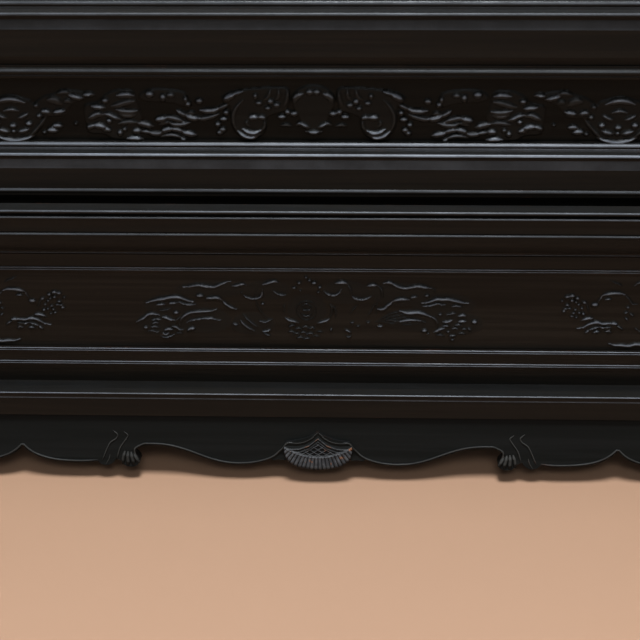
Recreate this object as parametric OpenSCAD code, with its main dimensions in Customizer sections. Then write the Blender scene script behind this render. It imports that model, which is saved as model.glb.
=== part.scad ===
// Insert screen: a carved stand with two shoe feet, and a framed porcelain panel that lifts out of it.
// Millimetres. X runs along the screen, -Y is the front, +Z is up.
// The origin is on the floor, in the middle of the stand.

/* [Overall] */
// Clear width between the two posts
post_span = 620; // [520:1:760]
// Height of the framed panel, from the underside of its bottom rail
panel_h = 878; // [600:1:1100]
// Depth that the framed panel lifts before it is free of the posts' grooves
post_rise = 273; // [160:1:360]

/* [Feet and posts] */
// Length of a shoe foot, front to back
foot_l = 300; // [280:1:380]
// Width of a shoe foot
foot_w = 56; // [50:1:70]
// How far a foot reaches past the post towards the middle
foot_lap = 6; // [4:1:9]
// Height of the arch under a foot
arch_h = 8; // [5:1:12]
// Length of the arch under a foot
arch_l = 100; // [80:1:104]
// Width of a post
post_w = 44; // [40:1:46]
// Depth of a post, front to back
post_d = 72; // [70:1:76]
// Height of the moulded cap on a post
cap_h = 26; // [20:1:34]
// How far a cap stands out past its post
cap_lap = 2; // [1:0.5:3]
// Height of a standing spandrel
spandrel_h = 262; // [200:1:280]
// How far a spandrel stops short of the foot's scroll
spandrel_short = 4; // [0:1:12]
// Thickness of a standing spandrel
spandrel_t = 22; // [16:1:26]

/* [Lower rail and aprons] */
// Height of the lower rail's underside above the floor
rail_z = 36; // [34:1:40]
// Height of the lower rail's front face
fascia_h = 14.4; // [13:0.1:20]
// Depth of the lower rail, front to back
rail_d = 72; // [68:1:76]
// How far an apron's top edge sits behind the lower rail's face
apron_set = 2; // [1:0.5:4]
// Angle at which an apron slopes out from the vertical
apron_lean = 18; // [12:1:20]
// Thickness of an apron
apron_t = 9; // [7:0.5:10]
// How far the carved shield stands out of the apron
shield_t = 1.6; // [1:0.2:3]

/* [Waist] */
// Depth of the waist, front to back
waist_d = 52; // [46:1:56]
// Height of the waist's bottom rail
waist_low_h = 21.1; // [21:0.1:26]
// Height of the opening that holds the carved waist panel
waist_open_h = 44.3; // [36:0.1:60]
// Height of the waist's top rail
waist_high_h = 11.2; // [11:0.1:16]
// Thickness of a waist panel
waist_panel_t = 10; // [8:0.5:12]
// How far a waist panel's face lies behind the rails
waist_recess = 2; // [1.5:0.5:4]
// Depth of the grooves that hold the waist panels
groove_deep = 5; // [3:0.5:6]
// Width of the end pieces of the waist
waist_stile_w = 20; // [16:1:30]

/* [Sill rail] */
// Depth of the sill rail, front to back
sill_d = 68; // [64:1:70]
// Height of the sill rail
sill_h = 27.9; // [27.5:0.1:34]
// Depth of the seat in the sill rail
seat_h = 5.9; // [4:0.1:8]
// Width of the sill rail's lip in front of the seat
lip_w = 6; // [5:0.5:7]

/* [Framed panel] */
// Depth of the panel's frame, front to back
frame_d = 48; // [44:1:50]
// Width of a stile
stile_w = 36; // [32:1:48]
// Height of the plinth under the bottom rail
plinth_h = 8; // [7:0.5:10]
// How far the plinth sits behind the frame's face
plinth_set = 6; // [4:0.5:9]
// Height of the bottom rail
low_rail_h = 18.9; // [18:0.1:30]
// Height of the space between bottom and middle rail
frieze_space_h = 47.5; // [36:0.1:70]
// Height of the middle rail
mid_rail_h = 22; // [20:0.5:40]
// Height of the top rail
top_rail_h = 34; // [28:1:50]
// Width of the slip moulding round an opening
slip_w = 7.8; // [7.4:0.1:9]
// Depth of the slip moulding
slip_d = 5.6; // [5.2:0.1:9]
// Thickness of the carved frieze panel
frieze_t = 10; // [8:0.5:12]
// Thickness of the porcelain
porcelain_t = 7; // [5:0.5:9]
// Thickness of the back board
back_board_t = 8; // [6:0.5:9]
// Height of a back batten
batten_h = 60; // [40:1:80]
// Thickness of a back batten
batten_t = 12; // [8:1:14]
// Side of the square fillets that hold the panels from behind
fillet = 10; // [8:0.5:12]
// Width of the tongue on a stile
tongue_w = 12; // [8:0.5:14]
// Reach of the tongue into the post
tongue_l = 10.5; // [8:0.5:11]

/* [Joints] */
// Length of the tenons on the frame's rails
frame_tenon_l = 20; // [14:1:22]
// Length of the tenons on the sill rail
sill_tenon_l = 20; // [14:1:22]
// Length of the tenons on the lower rail
rail_tenon_l = 15; // [12:1:16]
// Depth of the tenon under a post
post_tenon_h = 24; // [16:1:28]
// Radius of the pegs in the frame
frame_peg_r = 3; // [2:0.5:4]
// Radius of the pegs in the stand
stand_peg_r = 4; // [3:0.5:5]
// Clearance round a tenon or a tongue that is glued
joint_gap = 0.1; // [0.05:0.05:0.3]
// Clearance round a peg
peg_gap = 0.05; // [0.03:0.01:0.1]
// Clearance between the framed panel and the posts on each side
side_gap = 1.5; // [1:0.1:2.5]
// Clearance round the tongue that slides in the post
slide_gap = 0.3; // [0.2:0.05:0.6]
// Room that the panels have to swell in their openings
swell_gap = 0.8; // [0.5:0.1:1.5]

/* [Hidden] */
$fn = 32;
eps = 0.01;

lacquer = [0.10, 0.085, 0.075];
lacquer_light = [0.14, 0.115, 0.10];
dusty = [0.12, 0.12, 0.125];
glaze = [0.92, 0.93, 0.94];
raw_wood = [0.32, 0.23, 0.16];

// Heights of the stand's parts
ledge_z = rail_z + fascia_h;
waist_low_z = ledge_z;
waist_open_z = waist_low_z + waist_low_h;
waist_high_z = waist_open_z + waist_open_h;
sill_z = waist_high_z + waist_high_h;
sill_top = sill_z + sill_h;
seat_z = sill_top - seat_h;
frame_z = seat_z + plinth_h;
post_x = post_span / 2;
post_mid = post_x + post_w / 2;
post_top = frame_z + post_rise;
foot_x = post_x - foot_lap;
foot_h = ledge_z;
scroll_l = 32;
foot_crown = foot_l / 2 - scroll_l;
spandrel_l = foot_crown - post_d / 2 - spandrel_short;

// Heights and widths of the framed panel
frieze_z = frame_z + low_rail_h;
mid_rail_z = frieze_z + frieze_space_h;
pane_z = mid_rail_z + mid_rail_h;
top_rail_z = frame_z + panel_h - top_rail_h;
pane_h = top_rail_z - pane_z;
stile_out = post_x - side_gap;
stile_in = stile_out - stile_w;
frame_front = -frame_d / 2;
slip_back = frame_front + slip_d;
frieze_back = slip_back + frieze_t;
pane_back = slip_back + porcelain_t;
board_back = pane_back + back_board_t;

// Small sections that repeat
bead = 0.9;
fine_bead = 0.55;
pair_step = 1.15;
edge_bead = 1.4;
edge_bead_in = 2.5;
edge_bead_sunk = 0.6;
line_cut = 0.5;
face_fall = 1.4;
face_fall_h = 4.5;
apron_tongue_t = 4;
apron_tongue_h = 4;
post_round = 2;
spandrel_tongue_t = 8;
spandrel_tongue_l = 5;
tenon_shoulder = 3;
frame_tenon_t = 14;
sill_tenon_t = 24;
sill_tenon_rise = 4.5;
sill_tenon_h = 14;
rail_tenon_t = 40;
rail_tenon_h = 8;
post_tenon_w = 20;
post_tenon_d = 40;
peg_x = foot_x + rail_tenon_l / 2;

// Extrudes a section drawn in Y and Z along X, centred
module along_x(l) { rotate([90, 0, 90]) translate([0, 0, -l / 2]) linear_extrude(l) children(); }

// Extrudes an outline drawn in X and Z along Y, from y0
module along_y(y0, l) { translate([0, y0 + l, 0]) rotate([90, 0, 0]) linear_extrude(l) children(); }

// Draws its children and their mirror image, front and back
module both_faces() {
    children();
    mirror([1, 0]) children();
}

// A box from its low corner and its size
module block(low, size) { translate(low) cube(size); }

// A round peg or its bore along Y, or along Z
module rod_y(x, y0, z, r, l) { translate([x, y0, z]) rotate([-90, 0, 0]) cylinder(r = r, h = l); }
module rod_z(x, y, z0, r, l) { translate([x, y, z0]) cylinder(r = r, h = l); }

// Points of a cubic curve after its first point
function curve(a, b, c, d, n = 8) = [for (i = [1:n]) let (t = i / n, s = 1 - t)
    s * s * s * a + 3 * s * s * t * b + 3 * s * t * t * c + t * t * t * d];
function flip_x(path, about = 0) = [for (i = [len(path) - 1:-1:0]) [2 * about - path[i][0], path[i][1]]];

// Shoe foot: flat-topped, with scrolled toes and a shallow arch, drawn in Y and Z
function foot_half(end, arch) = concat(
    curve([arch - 12, arch_h], [arch - 4, arch_h], [arch, arch_h - 2], [arch, 0], 4),
    curve([end - 6, 0], [end - 2, 0], [end, 3], [end, 9], 4),
    curve([end, 9], [end, 14], [end - 4, 14], [end - 4, 18], 4),
    curve([end - 4, 18], [end + 1, 24], [end, 36], [end - 12, 38], 6),
    curve([end - 12, 38], [end - 20, 39], [end - 24, 36], [end - 24, 33], 4),
    curve([end - 24, 33], [end - 29, 35], [end - scroll_l, 42], [end - scroll_l, foot_h], 5));

module foot_outline() {
    half = concat([[arch_l / 2 - 12, arch_h]], foot_half(foot_l / 2, arch_l / 2));
    polygon(concat(half, flip_x(half)));
}

module foot(side) {
    mirror([side < 0 ? 1 : 0, 0, 0]) difference() {
        translate([foot_x + foot_w / 2, 0, 0]) along_x(foot_w) foot_outline();
        block([post_mid - post_tenon_w / 2 - joint_gap, -post_tenon_d / 2 - joint_gap,
            foot_h - post_tenon_h - joint_gap],
            [post_tenon_w + 2 * joint_gap, post_tenon_d + 2 * joint_gap, post_tenon_h + joint_gap + eps]);
        block([foot_x - eps, -rail_tenon_t / 2 - joint_gap, rail_mid_z - rail_tenon_h / 2 - joint_gap],
            [rail_tenon_l + joint_gap + eps, rail_tenon_t + 2 * joint_gap, rail_tenon_h + 2 * joint_gap]);
        rod_z(peg_x, 0, -eps, stand_peg_r + peg_gap, foot_peg_top + eps);
    }
}
rail_mid_z = rail_z + fascia_h / 2;
foot_peg_top = rail_mid_z + rail_tenon_h / 2 + 1;

module left_foot() { color(lacquer) foot(-1); }
module right_foot() { color(lacquer) foot(1); }

// Post: grooved on its inner face for the stile's tongue, and front and back for the spandrels
module post(side) {
    tongue_slot = tongue_w + 2 * slide_gap;
    spandrel_slot = spandrel_tongue_t + 2 * joint_gap;
    mirror([side < 0 ? 1 : 0, 0, 0]) difference() {
        union() {
            translate([post_x, -post_d / 2, foot_h]) linear_extrude(post_top - foot_h) post_section();
            block([post_mid - post_tenon_w / 2, -post_tenon_d / 2, foot_h - post_tenon_h],
                [post_tenon_w, post_tenon_d, post_tenon_h + 1]);
        }
        block([post_x - eps, -tongue_slot / 2, frame_z - slide_gap],
            [tongue_l - side_gap + 1 + eps, tongue_slot, post_rise + slide_gap + eps]);
        block([post_x - eps, -sill_tenon_t / 2 - joint_gap, sill_z + sill_tenon_rise - joint_gap],
            [sill_tenon_l + joint_gap + eps, sill_tenon_t + 2 * joint_gap, sill_tenon_h + 2 * joint_gap]);
        for (y = [-post_d / 2 - eps, post_d / 2 - spandrel_tongue_l])
            block([post_mid - spandrel_slot / 2, y, foot_h + spandrel_foot],
                [spandrel_slot, spandrel_tongue_l + eps, spandrel_h - 2 * spandrel_foot + joint_gap]);
        rod_y(post_x + sill_tenon_l / 2, -post_d / 2 - eps, sill_peg_z, stand_peg_r + peg_gap,
            post_d + 2 * eps);
    }
}
spandrel_foot = 6;
sill_peg_z = sill_z + sill_tenon_rise + sill_tenon_h / 2;

// Section of a post, with rounded corners and a quirk beside each front and back corner
module post_section() {
    quirk = 0.8;
    quirk_in = 3;
    r = post_round;
    corner = curve([post_w - r, 0], [post_w - r / 2, 0], [post_w, r / 2], [post_w, r], 3);
    front = concat([[post_w - r, 0]], corner);
    back = [for (i = [len(front) - 1:-1:0]) [front[i][0], post_d - front[i][1]]];
    right = concat(front, back);
    difference() {
        polygon(concat(right, flip_x(right, post_w / 2)));
        for (x = [quirk_in, post_w - quirk_in], y = [0, post_d]) translate([x, y]) circle(quirk);
    }
}

module left_post() { color(lacquer) post(-1); }
module right_post() { color(lacquer) post(1); }

// Outline of the post cap: a square edge, a cove and a pillowed top
module cap_outline(w) {
    edge_h = 5;
    cove = 6;
    shoulder = w / 2 - cove;
    half = concat([[w / 2, 0], [w / 2, edge_h]],
        curve([w / 2, edge_h], [w / 2 - 1, edge_h + 3], [shoulder, edge_h + 2], [shoulder, edge_h + cove]),
        curve([shoulder, edge_h + cove], [shoulder + 1, cap_h - 6], [shoulder - 6, cap_h - 1],
            [0, cap_h], 10));
    polygon(concat(half, flip_x([for (p = half) if (p[0] > 0) p])));
}

module post_cap(side) {
    w = post_w + 2 * cap_lap;
    d = post_d + 2 * cap_lap;
    tongue_slot = tongue_w + 2 * slide_gap;
    mirror([side < 0 ? 1 : 0, 0, 0]) difference() {
        translate([post_mid, 0, post_top]) intersection() {
            along_y(-d / 2, d) cap_outline(w);
            along_x(w) cap_outline(d);
        }
        block([post_x - cap_lap - eps, -post_d, post_top - eps], [cap_lap + eps, 2 * post_d, cap_h + 1]);
        block([post_x - eps, -tongue_slot / 2, post_top - eps],
            [tongue_l - side_gap + 1 + eps, tongue_slot, cap_h + 1]);
    }
}

module left_post_cap() { color(lacquer) post_cap(-1); }
module right_post_cap() { color(lacquer) post_cap(1); }

// Standing spandrel, drawn with its upright edge at 0 and its base along the foot
module spandrel_outline() {
    l = spandrel_l;
    h = spandrel_h;
    waist_z = 66;
    knot_z = h * 0.6;
    polygon(concat([[0, 0], [l, 0], [l, 12]],
        curve([l, 12], [l, 24], [l - 14, 27], [l - 18, 20]),
        curve([l - 18, 20], [l - 32, 30], [l - 20, 56], [l - 34, waist_z]),
        curve([l - 34, waist_z], [l - 40, waist_z + 5], [l - 45, waist_z], [l - 44, waist_z - 8], 5),
        curve([l - 44, waist_z - 8], [l - 56, waist_z + 26], [18, knot_z - 40], [24, knot_z]),
        curve([24, knot_z], [25, knot_z + 7], [18, knot_z + 8], [16, knot_z + 2], 5),
        curve([16, knot_z + 2], [9, h * 0.72], [8, h * 0.86], [12, h * 0.94]),
        curve([12, h * 0.94], [13, h * 0.98], [7, h], [1, h]), [[0, h]]));
}

module spandrel(side, face) {
    mirror([side < 0 ? 1 : 0, 0, 0]) mirror([0, face < 0 ? 1 : 0, 0])
        translate([post_mid, post_d / 2, foot_h]) {
            along_x(spandrel_t) spandrel_outline();
            block([-spandrel_tongue_t / 2, joint_gap - spandrel_tongue_l, spandrel_foot + joint_gap],
                [spandrel_tongue_t, spandrel_tongue_l, spandrel_h - 2 * spandrel_foot - joint_gap]);
        }
}

module left_front_spandrel() { color(lacquer_light) spandrel(-1, -1); }
module left_back_spandrel() { color(lacquer_light) spandrel(-1, 1); }
module right_front_spandrel() { color(lacquer_light) spandrel(1, -1); }
module right_back_spandrel() { color(lacquer_light) spandrel(1, 1); }

// Lower rail: a beaded fascia front and back under the ledge, with a groove for each apron
module lower_rail_half() {
    face = rail_d / 2;
    hollow = [-face - 1.35, fascia_h - 2.9];
    hollow_r = 1.6;
    difference() {
        union() {
            translate([-face, 0]) square([face + eps, fascia_h]);
            translate([-face, fascia_h - fine_bead]) circle(fine_bead);
        }
        translate(hollow) circle(hollow_r);
        translate([-apron_groove_y - joint_gap, -eps])
            square([apron_tongue_t + 2 * joint_gap, apron_tongue_h + joint_gap + eps]);
    }
}
apron_top_y = rail_d / 2 - apron_set;
apron_groove_y = apron_top_y - 2;

module lower_rail() {
    color(lacquer_light) difference() {
        union() {
            translate([0, 0, rail_z]) along_x(2 * foot_x) both_faces() lower_rail_half();
            block([-foot_x - rail_tenon_l, -rail_tenon_t / 2, rail_mid_z - rail_tenon_h / 2],
                [2 * (foot_x + rail_tenon_l), rail_tenon_t, rail_tenon_h]);
        }
        for (x = [-peg_x, peg_x]) rod_z(x, 0, rail_z, stand_peg_r + peg_gap, fascia_h);
    }
}

// Scalloped lower edge of an apron's right half. X is measured from the middle, Y down the slope.
lobe_deep = 27.3;
crest_deep = 17.2;
hook_x = 95;
cusp_x = 151.5;
cusp_deep = 18;
leaf_deep = 29.5;
shield_fringe = concat([[0, 29]], curve([0, 29], [10, 29.2], [17, 26], [17.3, 19.5]));
first_lobe = concat([[18.6, 17.8]],
    curve([18.6, 17.8], [21.5, 24.5], [30, lobe_deep], [41, lobe_deep]),
    curve([41, lobe_deep], [58, lobe_deep], [66, crest_deep + 0.2], [84, crest_deep], 10),
    curve([84, crest_deep], [90, crest_deep], [hook_x - 0.5, crest_deep], [hook_x, 20.5], 5));
leaf_pair = concat(
    curve([hook_x, 20.5], [hook_x, 23], [91.5, 23.5], [91.5, 26.5], 5),
    curve([91.5, 26.5], [93, leaf_deep + 0.6], [99.5, leaf_deep + 0.6], [101, 26], 6), [[103.6, 24.6]],
    curve([103.6, 24.6], [105, 28.5], [110.5, leaf_deep + 0.5], [113, 26.2], 6));
outer_lobe = concat(curve([113, 26.2], [119, 27.2], [125, 27], [131, 26.6], 5),
    curve([131, 26.6], [139, 26], [147.5, 23.5], [cusp_x, cusp_deep]));
to_cusp = concat(first_lobe, leaf_pair, outer_lobe);
past_cusp = [for (p = flip_x(to_cusp, cusp_x)) if (p[0] > cusp_x && p[0] < 2 * cusp_x - 41) p];
apron_end = [[foot_x - 14, 31], [foot_x, 31]];

module apron_outline() {
    lower = concat(shield_fringe, to_cusp, [for (p = past_cusp) if (p[0] < foot_x - 16) p], apron_end);
    top = apron_t;
    polygon(concat([for (p = lower) [p[0], -p[1]]], [[foot_x, top], [-foot_x, top]],
        [for (i = [len(lower) - 1:-1:1]) [-lower[i][0], -lower[i][1]]]));
}

// Raised shield in the middle of the apron
shield_edge = concat([[0, 8.5]], curve([0, 8.5], [5, 12.5], [10, 13.4], [16.2, 14], 6), [[17.8, 17.6]]);
module shield_outline() {
    half = concat(shield_edge, [for (i = [len(shield_fringe) - 1:-1:0]) shield_fringe[i]]);
    polygon(concat([for (p = half) [p[0], -p[1]]],
        [for (i = [len(half) - 2:-1:1]) [-half[i][0], -half[i][1]]]));
}

// Apron on the front; it leans out and tucks under the lower rail
module apron() {
    difference() {
        translate([0, -apron_top_y, rail_z]) rotate([-apron_lean, 0, 0]) {
            along_y(0, apron_t) apron_outline();
            along_y(-shield_t, shield_t + eps) shield_outline();
        }
        block([-foot_x - 1, -rail_d, rail_z], [2 * foot_x + 2, rail_d, 2 * apron_t]);
    }
    block([-foot_x + 2, -apron_groove_y, rail_z - 1], [2 * foot_x - 4, apron_tongue_t, apron_tongue_h + 1]);
}

module front_apron() { color(dusty) apron(); }
module back_apron() { color(dusty) mirror([0, 1, 0]) apron(); }

// Two fine beads side by side, the first at a place on a face
module bead_pair(x, y, upright = true) {
    for (i = [0, 1]) translate([x + (upright ? 0 : i * pair_step), y + (upright ? i * pair_step : 0)])
        circle(fine_bead);
}

// Waist bottom rail: a plain strip, then a strip between two pairs of beads. Its top falls to the panel.
panel_slot = waist_panel_t + 2 * joint_gap;
waist_panel_y = waist_d / 2 - waist_recess;
module waist_bottom_half() {
    face = waist_d / 2;
    low_beads = 10.9;
    high_beads = waist_low_h - 2.2;
    lip_fall = 1.1;
    difference() {
        union() {
            translate([-face, 0]) square([face + eps, waist_low_h]);
            bead_pair(-face, low_beads);
            bead_pair(-face, high_beads);
        }
        translate([-waist_panel_y - joint_gap, waist_low_h - groove_deep])
            square([panel_slot, groove_deep + eps]);
        polygon([[-face + 0.5, waist_low_h + eps], [-waist_panel_y, waist_low_h + eps],
            [-waist_panel_y, waist_low_h - lip_fall],
            [-waist_panel_y - joint_gap, waist_low_h - lip_fall]]);
    }
}

module waist_bottom_rail() {
    color(lacquer) translate([0, 0, waist_low_z]) along_x(post_span) both_faces() waist_bottom_half();
}

module waist_top_half() {
    face = waist_d / 2;
    top_bead = 0.4;
    difference() {
        union() {
            translate([-face, 0]) square([face + eps, waist_high_h]);
            bead_pair(-face, 1.1);
            translate([-face, waist_high_h - top_bead]) circle(top_bead);
        }
        translate([-face - eps, waist_high_h - 2 * top_bead - line_cut]) square([line_cut + eps, line_cut]);
        translate([-waist_panel_y - joint_gap, -eps]) square([panel_slot, groove_deep + eps]);
    }
}

module waist_top_rail() {
    color(lacquer) translate([0, 0, waist_high_z]) along_x(post_span) both_faces() waist_top_half();
}

// Waist panel, held on all four sides in grooves
tuck = groove_deep - swell_gap;
waist_panel_x = post_x - waist_stile_w + tuck;
module waist_panel() {
    block([-waist_panel_x, -waist_panel_y, waist_open_z - tuck],
        [2 * waist_panel_x, waist_panel_t, waist_open_h + 2 * tuck]);
}

module front_waist_panel() { color(lacquer_light) waist_panel(); }
module back_waist_panel() { color(lacquer_light) mirror([0, 1, 0]) waist_panel(); }

// End piece of the waist, grooved for both panels, with an upright double bead beside each
module waist_stile(side) {
    inner = post_x - waist_stile_w;
    mirror([side < 0 ? 1 : 0, 0, 0]) translate([0, 0, waist_open_z]) linear_extrude(waist_open_h)
        difference() {
            union() {
                translate([inner, -waist_d / 2]) square([waist_stile_w, waist_d]);
                for (y = [-waist_d / 2, waist_d / 2]) bead_pair(inner + 1.1, y, false);
            }
            for (y = [-waist_panel_y - joint_gap, waist_panel_y - panel_slot + joint_gap])
                translate([inner - eps, y]) square([groove_deep + eps, panel_slot]);
        }
}

module left_waist_stile() { color(lacquer) waist_stile(-1); }
module right_waist_stile() { color(lacquer) waist_stile(1); }

// Sill rail: it swells out from the waist to a beaded strip, and its top seats the framed panel
module sill_half() {
    face = sill_d / 2;
    low_bead = 14.6;
    high_bead = sill_h - 4.2;
    quirk_h = 1.4;
    swell_top = [-face, 13.2];
    swell_foot = [-waist_d / 2 - 0.2, 0.8];
    swell = curve(swell_top, swell_top + [0.6, -3.2], swell_foot + [-4.8, 4.2], swell_foot);
    difference() {
        union() {
            translate([-face, 0]) square([face + eps, sill_h]);
            for (z = [low_bead, high_bead, sill_h - bead]) translate([-face, z]) circle(bead);
        }
        polygon(concat([[-face - 1, -eps], [-face - 1, swell_top[1]], swell_top], swell,
            [[swell_foot[0], -eps]]));
        translate([-face - bead - eps, high_bead + bead]) square([bead + 1.2, quirk_h]);
        translate([-face - eps, low_bead + bead]) square([line_cut + eps, line_cut]);
        translate([-face + lip_w, sill_h - seat_h]) square([face, seat_h + eps]);
    }
}

module sill_rail() {
    color(lacquer) difference() {
        union() {
            translate([0, 0, sill_z]) along_x(post_span) both_faces() sill_half();
            block([-post_x - sill_tenon_l, -sill_tenon_t / 2, sill_z + sill_tenon_rise],
                [2 * (post_x + sill_tenon_l), sill_tenon_t, sill_tenon_h]);
        }
        for (x = [-1, 1]) rod_y(x * (post_x + sill_tenon_l / 2), -sill_tenon_t, sill_peg_z,
            stand_peg_r + peg_gap, 2 * sill_tenon_t);
    }
}

// Pegs: one through each sill tenon, and one up through each lower rail tenon
module stand_pegs() {
    color(lacquer_light) for (s = [-1, 1]) {
        rod_y(s * (post_x + sill_tenon_l / 2), -post_d / 2, sill_peg_z, stand_peg_r, post_d);
        rod_z(s * peg_x, 0, arch_h, stand_peg_r, foot_peg_top - arch_h);
    }
}

// Stile of the framed panel, with the tongue that runs in the post's groove
frame_rails = [[frame_z, low_rail_h], [mid_rail_z, mid_rail_h], [top_rail_z, top_rail_h]];
tongue_top = post_top - 5;
module stile_section() {
    d = frame_d / 2;
    for (m = [0, 1]) mirror([0, m]) {
        polygon([[stile_in, -eps], [stile_in, -d + face_fall], [stile_in + face_fall_h, -d],
            [stile_out - 1, -d], [stile_out, -d + 1], [stile_out, -eps], [stile_out, 0], [stile_in, 0]]);
        translate([stile_out - edge_bead_in, edge_bead_sunk - d]) circle(edge_bead);
    }
    translate([stile_in, -1]) square([stile_w, 2]);
}

module stile(side) {
    mirror([side < 0 ? 1 : 0, 0, 0]) difference() {
        union() {
            translate([0, 0, frame_z]) linear_extrude(panel_h) stile_section();
            block([stile_out - 1, -tongue_w / 2, frame_z], [tongue_l + 1, tongue_w, tongue_top - frame_z]);
        }
        for (r = frame_rails) {
            block([stile_in - eps, -frame_tenon_t / 2 - joint_gap, r[0] + tenon_shoulder - joint_gap],
                [frame_tenon_l + joint_gap + eps, frame_tenon_t + 2 * joint_gap,
                    r[1] - 2 * tenon_shoulder + 2 * joint_gap]);
            rod_y(stile_in + frame_tenon_l / 2, -frame_d, r[0] + r[1] / 2, frame_peg_r + peg_gap,
                2 * frame_d);
        }
    }
}

module left_stile() { color(lacquer) stile(-1); }
module right_stile() { color(lacquer) stile(1); }

// Tenons of a frame rail, with their peg holes
module frame_rail(z, h) {
    difference() {
        union() {
            translate([0, 0, z]) along_x(2 * stile_in) children();
            block([-stile_in - frame_tenon_l, -frame_tenon_t / 2, z + tenon_shoulder],
                [2 * (stile_in + frame_tenon_l), frame_tenon_t, h - 2 * tenon_shoulder]);
        }
        for (x = [-1, 1]) rod_y(x * (stile_in + frame_tenon_l / 2), -frame_d, z + h / 2,
            frame_peg_r + peg_gap, 2 * frame_d);
    }
}

// Section of a rail between stiles; its face falls away beside an opening above or below
module rail_half(h, fall_low, fall_high) {
    d = frame_d / 2;
    polygon([[eps, 0], [-d + fall_low, 0], [-d, fall_low > 0 ? face_fall_h : 0],
        [-d, fall_high > 0 ? h - face_fall_h : h], [-d + fall_high, h], [eps, h]]);
}

module bottom_rail() {
    color(lacquer) frame_rail(frame_z, low_rail_h) {
        both_faces() {
            rail_half(low_rail_h, 0, face_fall);
            translate([edge_bead_sunk - frame_d / 2, edge_bead_in]) circle(edge_bead);
        }
        plinth_half = frame_d / 2 - plinth_set;
        translate([-plinth_half, -plinth_h]) square([2 * plinth_half, plinth_h + 1]);
    }
}

module middle_rail() {
    color(lacquer) frame_rail(mid_rail_z, mid_rail_h)
        both_faces() rail_half(mid_rail_h, face_fall, face_fall);
}

module top_rail() {
    color(lacquer) frame_rail(top_rail_z, top_rail_h) both_faces() {
        rail_half(top_rail_h, face_fall, 0);
        translate([edge_bead_sunk - frame_d / 2, top_rail_h - edge_bead_in]) circle(edge_bead);
    }
}

// Section of the slip moulding: a quirk, an outer bead, a step and an inner bead. X is measured back from
// the frame's face, Y across the moulding.
outer_bead = 1.3;
outer_bead_in = 2.6;
inner_bead = 1.5;
inner_fall = 3.6;
function bump(mid, r, from, to, n = 6) = [for (i = [0:n]) let (a = from + (to - from) * i / n)
    mid + r * [cos(a), sin(a)]];
module slip_section() {
    polygon(concat([[slip_d, 0], [0.8, 0], [0.8, 1.1]], bump([0.1, outer_bead_in], outer_bead, 250, 95),
        [[0.3, 3.9], [2, 4.3], [2.25, slip_w - 2.5]],
        bump([inner_fall, slip_w - inner_bead], inner_bead, 215, 90), [[slip_d, slip_w]]));
}

// One mitred length of slip moulding, lying along the lower edge of an opening centred at the origin
module slip(l, half_h) {
    translate([0, frame_front, -half_h]) intersection() {
        along_x(l) slip_section();
        along_y(-2, slip_d + 4) polygon([[-l / 2, 0], [l / 2, 0], [l / 2 - slip_w - 1, slip_w + 1],
            [-l / 2 + slip_w + 1, slip_w + 1]]);
    }
}

// A slip on one side of an opening: 0 below, 90 left, 180 above, 270 right
module slip_at(turn, mid_z, w, h) {
    upright = turn == 90 || turn == 270;
    color(lacquer) translate([0, 0, mid_z]) rotate([0, turn, 0])
        slip(upright ? h : w, upright ? w / 2 : h / 2);
}

frieze_mid = frieze_z + frieze_space_h / 2;
pane_mid = pane_z + pane_h / 2;
opening_w = 2 * stile_in;
module frieze_slip_bottom() { slip_at(0, frieze_mid, opening_w, frieze_space_h); }
module frieze_slip_left() { slip_at(90, frieze_mid, opening_w, frieze_space_h); }
module frieze_slip_top() { slip_at(180, frieze_mid, opening_w, frieze_space_h); }
module frieze_slip_right() { slip_at(270, frieze_mid, opening_w, frieze_space_h); }
module porcelain_slip_bottom() { slip_at(0, pane_mid, opening_w, pane_h); }
module porcelain_slip_left() { slip_at(90, pane_mid, opening_w, pane_h); }
module porcelain_slip_top() { slip_at(180, pane_mid, opening_w, pane_h); }
module porcelain_slip_right() { slip_at(270, pane_mid, opening_w, pane_h); }

// A board that stands in an opening, with room to swell at its sides and top
module infill(z, h, y, t) {
    block([-stile_in + swell_gap, y, z], [opening_w - 2 * swell_gap, t, h - swell_gap]);
}

module frieze_panel() { color(lacquer_light) infill(frieze_z, frieze_space_h, slip_back, frieze_t); }

module frieze_back_fillets() {
    color(lacquer) for (z = [frieze_z, mid_rail_z - fillet])
        block([-stile_in, frieze_back, z], [opening_w, fillet, fillet]);
}

module porcelain_panel() { color(glaze) infill(pane_z, pane_h, slip_back, porcelain_t); }
module back_board() { color(raw_wood) infill(pane_z, pane_h, pane_back, back_board_t); }

// Battens across the back board, between the upright fillets
module batten(share) {
    w = opening_w - 2 * fillet;
    z = pane_z + pane_h * share - batten_h / 2;
    color(raw_wood) block([-w / 2, board_back, z], [w, batten_t, batten_h]);
}

module lower_batten() { batten(1 / 6); }
module middle_batten() { batten(1 / 2); }
module upper_batten() { batten(5 / 6); }

module back_fillet_left() {
    color(lacquer) block([-stile_in, board_back, pane_z], [fillet, fillet, pane_h]);
}
module back_fillet_right() {
    color(lacquer) block([stile_in - fillet, board_back, pane_z], [fillet, fillet, pane_h]);
}
module back_fillet_bottom() {
    color(lacquer) block([-stile_in + fillet, board_back, pane_z],
        [opening_w - 2 * fillet, fillet, fillet]);
}
module back_fillet_top() {
    color(lacquer) block([-stile_in + fillet, board_back, top_rail_z - fillet],
        [opening_w - 2 * fillet, fillet, fillet]);
}

// Pegs through the tenons of the frame's rails
module frame_pegs() {
    color(lacquer_light) for (s = [-1, 1], r = frame_rails)
        rod_y(s * (stile_in + frame_tenon_l / 2), -frame_d / 2, r[0] + r[1] / 2, frame_peg_r, frame_d);
}

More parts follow.
